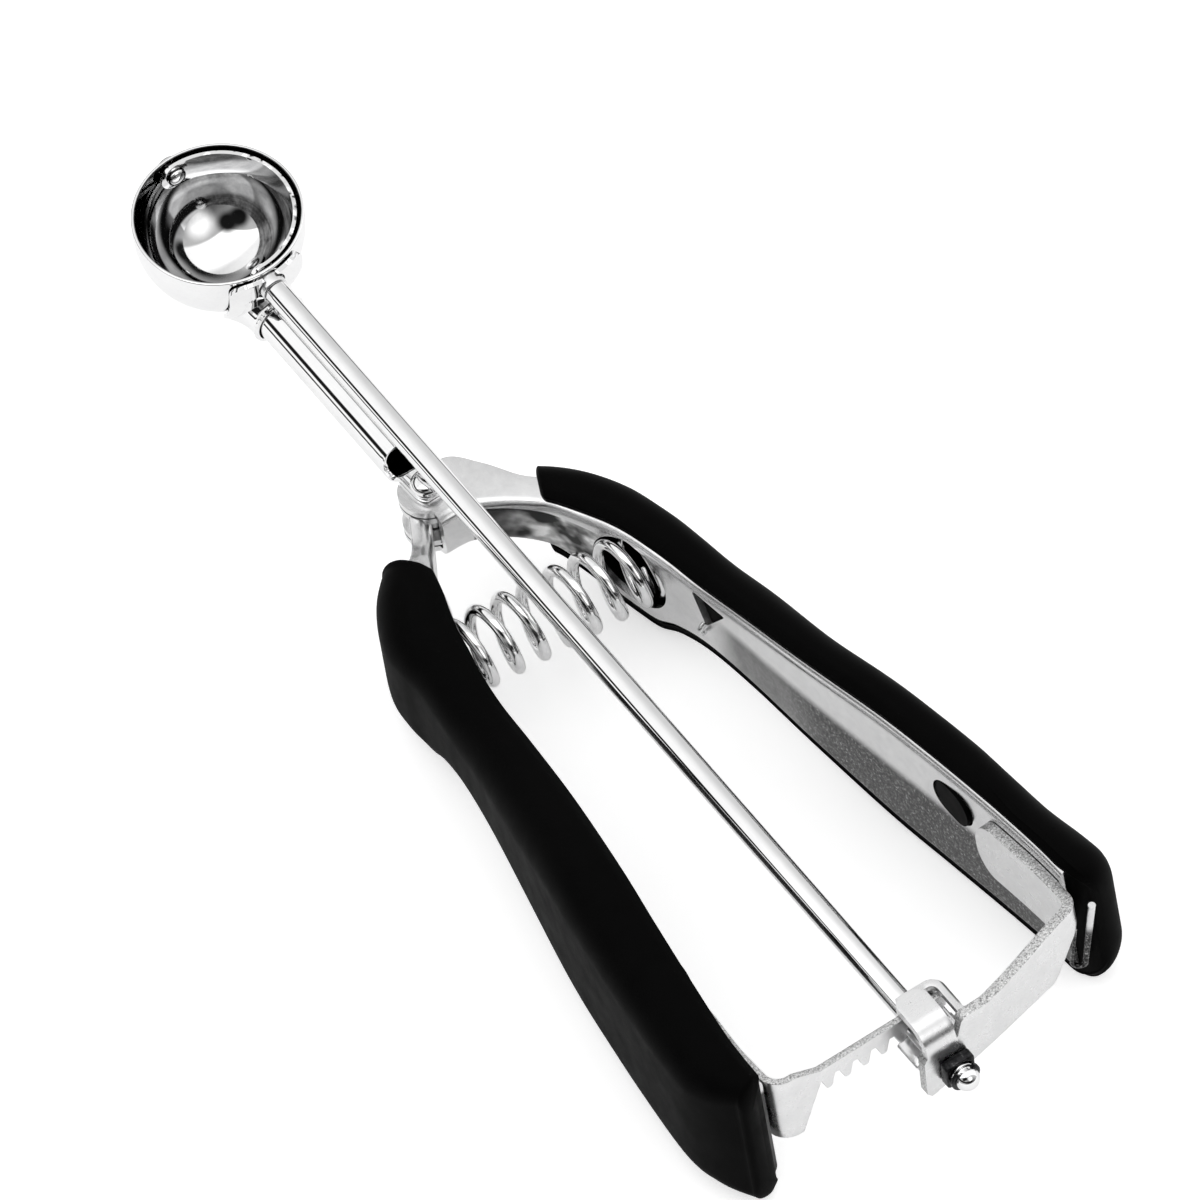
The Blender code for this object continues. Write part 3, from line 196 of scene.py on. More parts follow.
# Rows down each lever: back, side, turn of the flanges, flange depth, top and bottom of the web,
# grip depth. Back is a share of LEVER_REACH, side of LEVER_SIDE, turn of a quarter turn, flange
# depth of LEVER_FLANGE and grip depth of GRIP_DEPTH. Top and bottom run from the half height of
# that lever's ears, 0, to LEVER_HALF, 1.
RIGHT_LEVER_SHARES = [
    (0.047, -0.070, 1.00, 1.20, 0.00, 0.00, 0.94),
    (0.050, 0.090, 0.84, 1.50, 0.00, 0.00, 0.94),
    (0.069, 0.240, 0.83, 1.23, 0.01, 0.01, 0.94),
    (0.093, 0.360, 0.80, 0.87, 0.05, 0.06, 0.94),
    (0.112, 0.425, 0.70, 0.80, 0.10, 0.14, 1.00),
    (0.143, 0.490, 0.50, 0.80, 0.16, 0.40, 1.04),
    (0.179, 0.555, 0.30, 0.84, 0.23, 0.76, 1.00),
    (0.207, 0.595, 0.19, 0.84, 0.25, 0.90, 0.94),
    (0.236, 0.625, 0.14, 0.84, 0.25, 0.90, 0.92),
    (0.271, 0.658, 0.11, 0.84, 0.22, 0.62, 0.88),
    (0.321, 0.690, 0.08, 0.84, 0.21, 0.43, 0.86),
    (0.393, 0.727, 0.07, 0.84, 0.38, 0.46, 0.86),
    (0.500, 0.775, 0.07, 0.80, 0.66, 0.66, 0.80),
    (0.629, 0.850, 0.08, 0.78, 0.95, 0.95, 0.81),
    (0.714, 0.900, 0.07, 0.76, 1.00, 1.00, 0.82),
    (0.800, 0.945, 0.06, 0.68, 1.00, 1.00, 0.81),
    (0.857, 0.970, 0.04, 0.62, 0.98, 0.98, 0.83),
    (0.900, 0.984, 0.01, 0.60, 0.96, 0.96, 0.92),
    (0.936, 0.989, -0.04, 0.58, 0.93, 0.93, 1.00),
]
LEFT_LEVER_SHARES = [
    (0.022, 0.070, 0.33, 0.45, 0.00, 0.00, 0.94),
    (0.057, 0.166, 0.36, 0.45, 0.00, 0.00, 0.94),
    (0.083, 0.245, 0.42, 0.50, 0.15, 0.15, 0.94),
    (0.107, 0.300, 0.62, 0.65, 0.21, 0.24, 0.96),
    (0.143, 0.350, 0.42, 0.80, 0.29, 0.60, 1.18),
    (0.179, 0.410, 0.26, 0.88, 0.34, 0.88, 1.25),
    (0.207, 0.450, 0.18, 0.90, 0.36, 0.92, 1.16),
    (0.236, 0.480, 0.14, 0.90, 0.36, 0.92, 1.04),
    (0.271, 0.517, 0.12, 0.90, 0.33, 0.68, 0.98),
    (0.321, 0.552, 0.09, 0.90, 0.32, 0.51, 0.97),
    (0.393, 0.592, 0.09, 0.90, 0.47, 0.54, 1.03),
    (0.500, 0.662, 0.10, 0.95, 0.71, 0.71, 1.14),
    (0.629, 0.770, 0.11, 1.00, 0.96, 0.96, 1.19),
    (0.714, 0.845, 0.11, 1.00, 1.00, 1.00, 1.17),
    (0.800, 0.915, 0.10, 1.00, 1.00, 1.00, 1.14),
    (0.886, 0.979, 0.06, 1.00, 0.97, 0.97, 1.08),
    (0.925, 0.995, -0.02, 0.86, 0.94, 0.94, 0.94),
    (0.957, 1.000, -0.16, 0.50, 0.90, 0.90, 0.62),
]
ROW_STEPS = 8

scene = bpy.context.scene


# Node materials


class Finish:
    """A node material being put together."""

    def __init__(self, name, metallic, specular=0.5):
        self.material = bpy.data.materials.new(name)
        self.material.use_nodes = True
        self.tree = self.material.node_tree
        self.shader = self.tree.nodes["Principled BSDF"]
        self.shader.inputs["Metallic"].default_value = metallic
        self.shader.inputs["Specular IOR Level"].default_value = specular
        self.place = self.tree.nodes.new("ShaderNodeTexCoord").outputs["Object"]

    def link(self, source, target):
        self.tree.links.new(source, target)

    def noise(self, size, detail=4.0, roughness=0.6, stretch=(1, 1, 1)):
        """Noise whose features are about size mm across, drawn out by stretch."""
        mapping = self.tree.nodes.new("ShaderNodeMapping")
        for axis in range(3):
            mapping.inputs["Scale"].default_value[axis] = 1 / (size * MM * stretch[axis])
        self.link(self.place, mapping.inputs["Vector"])
        made = self.tree.nodes.new("ShaderNodeTexNoise")
        made.inputs["Scale"].default_value = 1.0
        made.inputs["Detail"].default_value = detail
        made.inputs["Roughness"].default_value = roughness
        self.link(mapping.outputs["Vector"], made.inputs["Vector"])
        return made.outputs["Fac"]

    def ramp(self, value, stops):
        """A value turned into a colour by stops of place and grey or colour."""
        made = self.tree.nodes.new("ShaderNodeValToRGB")
        for i, (position, shade) in enumerate(stops):
            stop = made.color_ramp.elements[i] if i < 2 else made.color_ramp.elements.new(position)
            stop.position = position
            colour = (shade, shade, shade) if isinstance(shade, (int, float)) else shade
            stop.color = (*colour, 1.0)
        self.link(value, made.inputs["Fac"])
        return made.outputs["Color"]

    def mixed(self, first, second, share=None, kind="MIX"):
        """Two colours mixed, in full when no share is given."""
        made = self.tree.nodes.new("ShaderNodeMix")
        made.data_type = "RGBA"
        made.blend_type = kind
        made.inputs["Factor"].default_value = 1.0
        if share is not None:
            self.link(share, made.inputs["Factor"])
        self.link(first, made.inputs["A"])
        self.link(second, made.inputs["B"])
        return made.outputs["Result"]

    def times(self, first, second):
        """Two colours multiplied."""
        return self.mixed(first, second, kind="MULTIPLY")

    def past(self, axis, low, high):
        """0 below low and 1 above high, in mm along an axis of the lever frame. Swapped ends
        turn it round."""
        split = self.tree.nodes.new("ShaderNodeSeparateXYZ")
        self.link(self.place, split.inputs["Vector"])
        made = self.tree.nodes.new("ShaderNodeMapRange")
        made.interpolation_type = "SMOOTHSTEP"
        ends = [HINGE[axis] + value * MM for value in (low, high)]
        made.inputs["From Min"].default_value = min(ends)
        made.inputs["From Max"].default_value = max(ends)
        made.inputs["To Min"].default_value = 0.0 if low < high else 1.0
        made.inputs["To Max"].default_value = 1.0 if low < high else 0.0
        self.link(split.outputs[axis], made.inputs["Value"])
        return made.outputs["Result"]

    def both(self, *shares):
        """The product of some shares."""
        before = shares[0]
        for share in shares[1:]:
            made = self.tree.nodes.new("ShaderNodeMath")
            made.operation = "MULTIPLY"
            self.link(before, made.inputs[0])
            self.link(share, made.inputs[1])
            before = made.outputs[0]
        return before

    def colour(self, source):
        self.link(source, self.shader.inputs["Base Color"])

    def roughness(self, source):
        self.link(source, self.shader.inputs["Roughness"])

    def bump(self, layers):
        """Small relief from layers of height source and depth in mm."""
        before = None
        for source, depth in layers:
            made = self.tree.nodes.new("ShaderNodeBump")
            made.inputs["Strength"].default_value = 1.0
            made.inputs["Distance"].default_value = depth * MM
            self.link(source, made.inputs["Height"])
            if before is not None:
                self.link(before, made.inputs["Normal"])
            before = made.outputs["Normal"]
        self.link(before, self.shader.inputs["Normal"])


def chrome_finish():
    """Bright plating: faint smudges, fine polishing lines and a slow waviness."""
    made = Finish("chrome_plate", 1.0)
    smudge = made.noise(5.0, 5.0, 0.65)
    fine = made.noise(0.35, 3.0, 0.6, (1, 7, 1))
    made.colour(made.times(made.ramp(smudge, [(0.3, (0.90, 0.90, 0.905)), (0.7, (0.95, 0.95, 0.95))]),
                           made.ramp(fine, [(0.25, 0.97), (0.6, 1.0)])))
    made.roughness(made.ramp(smudge, [(0.35, 0.02), (0.62, 0.035), (0.8, 0.07)]))
    made.bump([(made.noise(6.0, 1.0, 0.4), 0.012), (fine, 0.0008)])
    return made.material


def inside_finish():
    """The bowl's inside: bright at the bottom, painted duller and darker up the wall as shade, with spinning
    marks.
    """
    made = Finish("chrome_inside", 1.0)
    smudge = made.noise(3.5, 5.0, 0.7)
    ring = made.noise(0.5, 4.0, 0.7, (90, 90, 1))
    # Painted shade by height: the bottom light, the belly mid grey, the top band near black over the spinning
    # marks.
    bottom = made.ramp(smudge, [(0.3, (0.80, 0.80, 0.805)), (0.7, (0.90, 0.90, 0.90))])
    shaded_belly = made.ramp(smudge, [(0.3, (0.42, 0.42, 0.425)), (0.7, (0.62, 0.62, 0.62))])
    upper = made.times(made.ramp(smudge, [(0.35, (0.06, 0.06, 0.06)), (0.68, (0.34, 0.34, 0.34))]),
                       made.ramp(ring, [(0.35, 0.55), (0.6, 1.0)]))
    colour = made.mixed(bottom, shaded_belly, made.past(2, 8.2, 9.8))
    made.colour(made.mixed(colour, upper, made.past(2, 12.6, 15.5)))
    made.roughness(made.ramp(smudge, [(0.35, 0.03), (0.8, 0.07)]))
    made.bump([(made.noise(7.0, 1.0, 0.4), 0.03), (ring, 0.0008)])
    return made.material


def lever_finish():
    """Plated pressing, bright above, with painted shade: the webs darkened lower down over a speckled
    texture, the left web near black, a blotchy painted shadow beside the hub and a painted dark corner by it.
    """
    made = Finish("plated_pressing", 1.0)
    mottle = made.noise(1.6, 6.0, 0.72)
    cloud = made.noise(9.0, 3.0, 0.55)
    speck = made.noise(0.6, 4.0, 0.85)
    hub_shadow_noise = made.noise(5.5, 2.5, 0.6, (1.3, 1.0, 0.8))
    bright = made.times(made.ramp(mottle, [(0.3, (0.80, 0.80, 0.805)), (0.7, (0.88, 0.88, 0.88))]),
                        made.ramp(cloud, [(0.35, 0.93), (0.65, 1.0)]))
    # Painted shade for the right lever's lower web: mid grey over the speckle, near black further back.
    grey = made.times(made.ramp(speck, [(0.35, 0.6), (0.65, 1.0)]),
                      made.ramp(cloud, [(0.35, 0.16), (0.65, 0.34)]))
    dark = made.ramp(speck, [(0.42, 0.010), (0.52, 0.05), (0.60, 0.20), (0.70, 0.70)])
    low = made.mixed(grey, dark, made.past(1, -62, -74))
    # Masks for painted shade: the right web low down, the left web below its top, the web beside the hub.
    right = made.both(made.past(0, 0, 4), made.past(1, -46, -54), made.past(2, 3.4, 0.6))
    left = made.both(made.past(0, 0, -4), made.past(1, -34, -42), made.past(2, 9.0, 7.8))
    hub = made.both(made.past(0, 3, 6), made.past(1, -2.5, -6), made.past(1, -31, -24),
                    made.past(2, 3.5, 3.3))
    # Blotchy painted shadow beside the hub, below the ear.
    hub_shadow = made.ramp(hub_shadow_noise, [(0.40, 0.03), (0.48, 0.22), (0.55, 0.50), (0.64, 0.95)])
    colour = made.mixed(bright, low, right)
    colour = made.mixed(colour, made.ramp(cloud, [(0.3, 0.02), (0.7, 0.10)]), left)
    # Painted dark corner next to the hub, behind the rod.
    corner = made.both(made.past(0, 2.6, 3.0), made.past(1, -1.0, -2.0), made.past(1, -15, -8),
                       made.past(2, 3.5, 3.3))
    made.colour(made.mixed(made.mixed(colour, hub_shadow, hub),
                           made.ramp(cloud, [(0.4, 0.01), (0.7, 0.2)]), corner))
    made.roughness(made.ramp(mottle, [(0.3, 0.27), (0.7, 0.19)]))
    made.bump([(mottle, 0.012), (made.noise(0.5, 3.0, 0.6), 0.004)])
    return made.material


def stamped_finish(name, shaded_side_wall=False):
    """Satin sheet steel with a fine grain and a few pits; the box's outer wall is painted darker as shade."""
    made = Finish(name, 1.0)
    grain = made.noise(0.22, 4.0, 0.7, (5, 1, 1))
    cloud = made.noise(3.0, 4.0, 0.65)
    pit = made.noise(0.4, 2.0, 0.55)
    colour = made.times(made.times(
        made.ramp(grain, [(0.3, (0.84, 0.84, 0.845)), (0.7, (0.89, 0.89, 0.89))]),
        made.ramp(cloud, [(0.3, 0.93), (0.7, 1.0)])), made.ramp(pit, [(0.25, 0.75), (0.33, 1.0)]))
    if shaded_side_wall:
        # Painted shade: the box's outer side wall is darkened.
        wall = made.both(made.past(0, 3.5, 3.8), made.past(0, 4.7, 4.3), made.past(1, -132.5, -134.0),
                         made.past(1, -140.5, -139.0))
        colour = made.mixed(colour, made.ramp(cloud, [(0.35, 0.06), (0.65, 0.22)]), wall)
    made.colour(colour)
    made.roughness(made.ramp(cloud, [(0.3, 0.34), (0.7, 0.24)]))
    made.bump([(grain, 0.003), (pit, 0.008)])
    return made.material


def sheared_finish():
    """Torn and tumbled edges of the stampings."""
    made = Finish("sheared_edge", 1.0)
    speck = made.noise(0.30, 5.0, 0.75)
    made.colour(made.ramp(speck, [(0.36, 0.10), (0.46, 0.50), (0.62, 0.90)]))
    made.roughness(made.ramp(speck, [(0.35, 0.5), (0.65, 0.3)]))
    made.bump([(speck, 0.06)])
    return made.material


def spring_finish():
    """Drawn wire: bright, with lines along it."""
    made = Finish("drawn_wire", 1.0)
    line = made.noise(0.16, 3.0, 0.6, (1, 6, 6))
    cloud = made.noise(2.4, 4.0, 0.6)
    made.colour(made.times(made.ramp(line, [(0.3, (0.84, 0.84, 0.845)), (0.65, (0.95, 0.95, 0.95))]),
                           made.ramp(cloud, [(0.32, 0.92), (0.6, 1.0)])))
    made.roughness(made.ramp(cloud, [(0.3, 0.12), (0.7, 0.06)]))
    made.bump([(line, 0.003), (cloud, 0.006)])
    return made.material


def dark_finish():
    """Blackened steel, worn grey where it is handled."""
    made = Finish("blackened_steel", 1.0)
    wear = made.noise(1.2, 6.0, 0.7)
    fine = made.noise(0.2, 2.0, 0.5)
    made.colour(made.times(made.ramp(wear, [(0.40, (0.012, 0.012, 0.013)),
                                            (0.62, (0.05, 0.05, 0.052)), (0.80, 0.35)]),
                           made.ramp(fine, [(0.3, 0.7), (0.6, 1.0)])))
    made.roughness(made.ramp(wear, [(0.3, 0.5), (0.75, 0.3)]))
    made.bump([(wear, 0.02), (fine, 0.006)])
    return made.material


def rubber_finish():
    """Black moulded rubber: a fine matt grain, dust-free, a little shinier where it is pressed."""
    made = Finish("moulded_rubber", 0.0, 0.03)
    grain = made.noise(0.14, 3.0, 0.6)
    cloud = made.noise(5.0, 5.0, 0.6)
    made.colour(made.times(made.ramp(cloud, [(0.3, 0.0006), (0.7, 0.0016)]),
                           made.ramp(grain, [(0.3, 0.75), (0.7, 1.0)])))
    made.roughness(made.ramp(cloud, [(0.3, 0.50), (0.7, 0.62)]))
    made.bump([(cloud, 0.03), (grain, 0.010)])
    return made.material


CHROME = chrome_finish()
INSIDE = inside_finish()
PRESSED = lever_finish()
SATIN = stamped_finish("satin_stamping")
# The bracket's steel, with painted shade on the box's outer wall.
BOX = stamped_finish("satin_bracket", True)
SHEARED = sheared_finish()
WIRE = spring_finish()
DARK = dark_finish()
RUBBER = rubber_finish()


# Mesh helpers


def smooth(mesh, degrees=35):
    mesh.shade_smooth()
    mesh.set_sharp_from_angle(angle=math.radians(degrees))
    return mesh


def mesh_from(name, build, degrees=35):
    """A mesh filled by a bmesh function."""
    mesh = bpy.data.meshes.new(name)
    made = bmesh.new()
    build(made)
    bmesh.ops.recalc_face_normals(made, faces=made.faces)
    made.to_mesh(mesh)
    made.free()
    return smooth(mesh, degrees)


def held(name, mesh, matrix=Matrix.Identity(4)):
    """An object in mm, in one of the two frames."""
    made = bpy.data.objects.new(name, mesh)
    mesh.transform(matrix)
    scene.collection.objects.link(made)
    return made


def arc(x, y, radius, start, end, steps):
    angles = [start + (end - start) * i / steps for i in range(steps + 1)]
    return [(x + radius * math.cos(a), y + radius * math.sin(a)) for a in angles]


def softened(points, radius, steps=3, closed=False, least=25):
    """A line whose sharp corners are rounded off."""
    count = len(points)
    made = []
    for i, point in enumerate(points):
        here = Vector(point)
        if not closed and i in (0, count - 1):
            made.append(tuple(here))
            continue
        back = Vector(points[i - 1]) - here
        ahead = Vector(points[(i + 1) % count]) - here
        reach = min(radius, back.length * 0.45, ahead.length * 0.45)
        turn = math.pi - back.angle(ahead)
        if turn < math.radians(least):
            made.append(tuple(here))
            continue
        start = here + back.normalized() * reach
        end = here + ahead.normalized() * reach
        for step in range(steps + 1):
            t = step / steps
            made.append(tuple(start.lerp(here, t).lerp(here.lerp(end, t), t)))
    return made


def lathe(name, profile, steps=96, closed=False, degrees=35):
    """A profile of radius and height turned round z."""

    def build(made):
        rings = []
        for radius, height in profile:
            if radius < 1e-6:
                rings.append([made.verts.new((0, 0, height))])
            else:
                rings.append([made.verts.new((radius * math.cos(math.tau * i / steps),
                                              radius * math.sin(math.tau * i / steps), height))
                              for i in range(steps)])
        pairs = list(zip(rings, rings[1:])) + ([(rings[-1], rings[0])] if closed else [])
        for one, other in pairs:
            for i in range(steps):
                j = (i + 1) % steps
                if len(one) == 1:
                    made.faces.new((one[0], other[j], other[i]))
                elif len(other) == 1:
                    made.faces.new((one[i], one[j], other[0]))
                else:
                    made.faces.new((one[i], one[j], other[j], other[i]))

    return mesh_from(name, build, degrees)


def skin(name, rings, closed=True, capped=True, degrees=35):
    """A surface stretched over rings of points."""

    def build(made):
        rows = [[made.verts.new(point) for point in ring] for ring in rings]
        count = len(rings[0])
        for lower, upper in zip(rows, rows[1:]):
            for i in range(count if closed else count - 1):
                j = (i + 1) % count
                made.faces.new((lower[i], lower[j], upper[j], upper[i]))
        if closed and capped:
            made.faces.new(rows[0])
            made.faces.new(rows[-1])

    return mesh_from(name, build, degrees)


def prism(name, outline, thickness, degrees=35):
    """A flat outline in the xy plane, given a thickness about z 0."""
    rings = [[(x, y, z) for x, y in outline] for z in (-thickness / 2, thickness / 2)]
    return skin(name, rings, degrees=degrees)


def cylinder(name, radius, length, facets=96):
    return prism(name, arc(0, 0, radius, 0, math.tau * (facets - 1) / facets, facets - 1), length)


def block(name, low, high):
    outline = [(low[0], low[1]), (high[0], low[1]), (high[0], high[1]), (low[0], high[1])]
    mesh = prism(name, outline, high[2] - low[2])
    mesh.transform(Matrix.Translation((0, 0, (high[2] + low[2]) / 2)))
    return mesh


def bake(made):
    """Apply an object's modifiers."""
    bpy.context.view_layer.update()
    seen = made.evaluated_get(bpy.context.evaluated_depsgraph_get())
    mesh = bpy.data.meshes.new_from_object(seen)
    made.modifiers.clear()
    made.data = mesh
    return made


def thicken(made, thickness, offset=0.0, rim=0):
    solid = made.modifiers.new("Sheet", "SOLIDIFY")
    solid.thickness = thickness
    solid.offset = offset
    solid.use_even_offset = True
    solid.material_offset_rim = rim
    return bake(made)


def rounded(made, width, segments=2, degrees=40):
    """Break an object's sharp edges."""
    change = made.modifiers.new("Bevel", "BEVEL")
    change.width = width
    change.segments = segments
    change.limit_method = "ANGLE"
    change.angle_limit = math.radians(degrees)
    change.use_clamp_overlap = True
    change.harden_normals = False
    bake(made)
    smooth(made.data, 50)
    return made


def combine(made, mesh, operation, matrix=Matrix.Identity(4)):
    """Cut or join with a mesh, which is then thrown away."""
    other = held(made.name + "_tool", mesh, matrix)
    change = made.modifiers.new(operation.title(), "BOOLEAN")
    change.operation = operation
    change.solver = "EXACT"
    change.object = other
    bake(made)
    bpy.data.objects.remove(other)
    return made


def done(made, space, node, body, slot, *finishes):
    """Set a piece in the row's frame, standing for its CAD node."""
    made.data.transform(space)
    kept = [min(face.material_index, len(finishes) - 1) for face in made.data.polygons]
    made.data.materials.clear()
    for finish in finishes:
        made.data.materials.append(finish)
    made.data.polygons.foreach_set("material_index", kept)
    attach(made, body)
    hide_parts(node)
    return made


def tilted(point):
    """A place in the rod's frame, given in the lever frame."""
    x, y, z = point
    return (x, y * math.cos(TILT) - (z + RISE) * math.sin(TILT),
            (z + RISE) * math.cos(TILT) + y * math.sin(TILT))


# Bowl, blade and rod, in the rod's frame


def make_bowl():
    profile = [(BOWL_RADIUS, BOWL_SKIRT)]
    profile += [(x, z) for x, z in arc(0, 0, BOWL_RADIUS, 0, -math.pi / 2, 56)]
    profile[-1] = (0.0, -BOWL_RADIUS)
    inside = [(BOWL_INNER, BOWL_SKIRT)]
    inside += arc(0, 0, BOWL_INNER, 0, -math.pi / 2, 56)
    inside[-1] = (0.0, -BOWL_INNER)
    line = list(reversed(profile)) + inside
    line = softened(line, 0.28, 5, least=60)
    bowl = held("bowl_fine", lathe("bowl_fine", line, 192, degrees=50),
                Matrix.Translation((0, BOWL_CENTRE, 0)))
    combine(bowl, cylinder("hole", JOURNAL_BORE, 6), "DIFFERENCE", Matrix.Translation((0, NOSE, 0)) @ ALONG_Y)
    combine(bowl, cylinder("hole", PIVOT_BORE, 6), "DIFFERENCE", Matrix.Translation((0, TAIL, 0)) @ ALONG_Y)
    smooth(bowl.data, 40)
    done(bowl, ROD, "bowl", "frame", "chrome", CHROME, INSIDE)
    # Inward faces take the inside finish, with its painted shade up the wall.
    middle = ROD @ Vector((0, BOWL_CENTRE, 0))
    for face in bowl.data.polygons:
        inward = face.normal.dot(middle - face.center) > 0
        if inward and (face.center - middle).length < (BOWL_INNER + 0.6) * MM:
            face.material_index = 1


def make_blade():
    half = BLADE_WIDTH / 2
    eyelet = 14
    stations = []
    for step in range(eyelet, 0, -1):
        run = half * math.sin(math.pi / 2 * step / (eyelet + 0.5))
        stations.append(((-run, -BLADE_RADIUS), math.sqrt(half ** 2 - run ** 2)))
    stations += [(place, half) for place in arc(0, 0, BLADE_RADIUS, -math.pi / 2, math.pi / 2, 96)]
    for step in range(1, eyelet + 1):
        run = half * math.sin(math.pi / 2 * step / (eyelet + 0.5))
        stations.append(((-run, BLADE_RADIUS), math.sqrt(half ** 2 - run ** 2)))
    rows = [[(x, y, -z + 2 * z * i / 8) for i in range(9)] for (x, y), z in stations]
    blade = held("scraper_blade_fine", skin("scraper_blade_fine", rows, closed=False),
                 Matrix.Translation((0, BOWL_CENTRE, 0)))
    outward = sum(face.normal.dot(face.center - Vector((0, BOWL_CENTRE, 0))) for face in blade.data.polygons)
    thicken(blade, BLADE_SHEET, -1.0 if outward > 0 else 1.0)
    combine(blade, cylinder("hole", EYELET_BORE, 6), "DIFFERENCE", Matrix.Translation((0, NOSE, 0)) @ ALONG_Y)
    combine(blade, cylinder("hole", PIVOT_BORE, 6), "DIFFERENCE", Matrix.Translation((0, TAIL, 0)) @ ALONG_Y)
    rounded(blade, 0.14, 3, 50)
    done(blade, ROD, "scraper_blade", "shaft", "chrome", CHROME)


def make_blade_rivet():
    inner = BLADE_RADIUS - BLADE_SHEET - FIT
    outer = BOWL_RADIUS + FIT
    profile = [(0.0, outer + 1.1)]
    profile += [(2.2 * math.sin(a), outer + 1.1 * math.cos(a))
                for a in (math.pi / 2 * i / 16 for i in range(1, 17))]
    profile += [(2.1, outer - 0.1), (1.0, outer - 0.1), (1.0, inner + 0.1), (1.5, inner + 0.1)]
    profile += [(1.6 * math.cos(a), inner - 0.8 * math.sin(a))
                for a in (math.pi / 2 * i / 16 for i in range(16))]
    profile += [(0.0, inner - 0.8)]
    rivet = held("blade_pivot_fine", lathe("blade_pivot_fine", profile, 64),
                 Matrix.Translation((0, BOWL_CENTRE, 0)) @ ALONG_Y)
    done(rivet, ROD, "blade_pivot", "frame", "chrome", CHROME)


def make_rod():
    nose = BOWL_CENTRE - BLADE_RADIUS + BLADE_SHEET + FIT - 0.15
    groove = -(ARM_PLATE_BACK + ARM_SHEET / 2 + 1.8 + 2 * FIT)
    shoulder = -ROD_TAIL + ROD_RADIUS
    profile = [(0.0, nose + 1.0), (0.9, nose + 0.95), (1.6, nose + 0.6), (2.0, nose + 0.12), (1.9, nose)]
    profile += [(JOURNAL_RADIUS, nose), (JOURNAL_RADIUS, ROD_SHOULDER), (ROD_RADIUS, ROD_SHOULDER)]
    profile += [(ROD_RADIUS, groove), (1.5, groove), (1.5, groove - 1.2), (ROD_RADIUS, groove - 1.2)]
    profile += arc(0, shoulder, ROD_RADIUS, 0, -math.pi / 2, 18)
    profile[-1] = (0.0, -ROD_TAIL)
    rod = held("shaft_rod_fine", lathe("shaft_rod_fine", softened(profile, 0.18, 3), 96), ALONG_Y)
    done(rod, ROD, "shaft_rod", "shaft", "chrome", CHROME)
    wall = [(2.2, NOSE + FIT), (2.2, ROD_SHOULDER + FIT), (1.55, ROD_SHOULDER + FIT), (1.55, NOSE + FIT)]
    bush = lathe("front_bushing_fine", softened(wall, 0.15, 3, closed=True), 64, closed=True)
    done(held("front_bushing_fine", bush, ALONG_Y), ROD, "front_bushing", "frame", "dark_steel", SATIN)
    outline = []
    for i, (x, z) in enumerate(((1, 1), (-1, 1), (-1, -1), (1, -1))):
        outline += arc(x * 1.85, z * 1.85, 0.75, i * math.pi / 2, (i + 1) * math.pi / 2, 6)
    back = -(ARM_PLATE_BACK + ARM_SHEET / 2 + FIT / 2 + 0.9)
    square = held("rear_bushing_fine", prism("rear_bushing_fine", outline, 1.8),
                  Matrix.Translation((0, back, 0)) @ ALONG_Y)
    combine(square, cylinder("hole", ROD_BORE, 6), "DIFFERENCE",
            Matrix.Translation((0, back, 0)) @ ALONG_Y)
    rounded(square, 0.22, 3, 50)
    done(square, ROD, "rear_bushing", "frame", "dark_steel", DARK)
    mouth = math.radians(38)
    outline = arc(0, 0, 2.6, -math.pi / 2 + mouth, 3 * math.pi / 2 - mouth, 48)
    outline += arc(0, 0, 1.65, 3 * math.pi / 2 - mouth, -math.pi / 2 + mouth, 40)
    clip = held("retaining_clip_fine", prism("retaining_clip_fine", softened(outline, 0.4, 3, True, 50), 0.6),
                Matrix.Translation((0, groove - FIT - 0.3, 0)) @ ALONG_Y)
    rounded(clip, 0.1, 2, 50)
    done(clip, ROD, "retaining_clip", "shaft", "dark_steel", DARK)


def make_pinion():
    tooth = math.pi / PINION_TEETH
    outline = []
    shape = [(2.98, 0.62), (3.3, 0.57), (4.03, 0.49), (4.33, 0.42), (4.8, 0.27), (5.1, 0.14)]
    for i in range(PINION_TEETH):
        middle = math.pi / 2 + 2 * tooth * i
        outline += [(r, middle - tooth * share) for r, share in shape]
        outline += [(r, middle + tooth * share) for r, share in reversed(shape)]
    points = softened([(r * math.cos(a), r * math.sin(a)) for r, a in outline], 0.3, 3, True, 40)
    middle = Matrix.Translation((0, -(PINION_FRONT + PINION_LENGTH / 2), 0)) @ ALONG_Y
    pinion = held("pinion_gear_fine", prism("pinion_gear_fine", points, PINION_LENGTH), middle)
    combine(pinion, cylinder("hole", ROD_RADIUS + 0.1, 9), "DIFFERENCE", middle)
    rounded(pinion, 0.22, 3, 55)
    done(pinion, ROD, "pinion_gear", "shaft", "stamped_steel", SATIN)


# Neck and socket


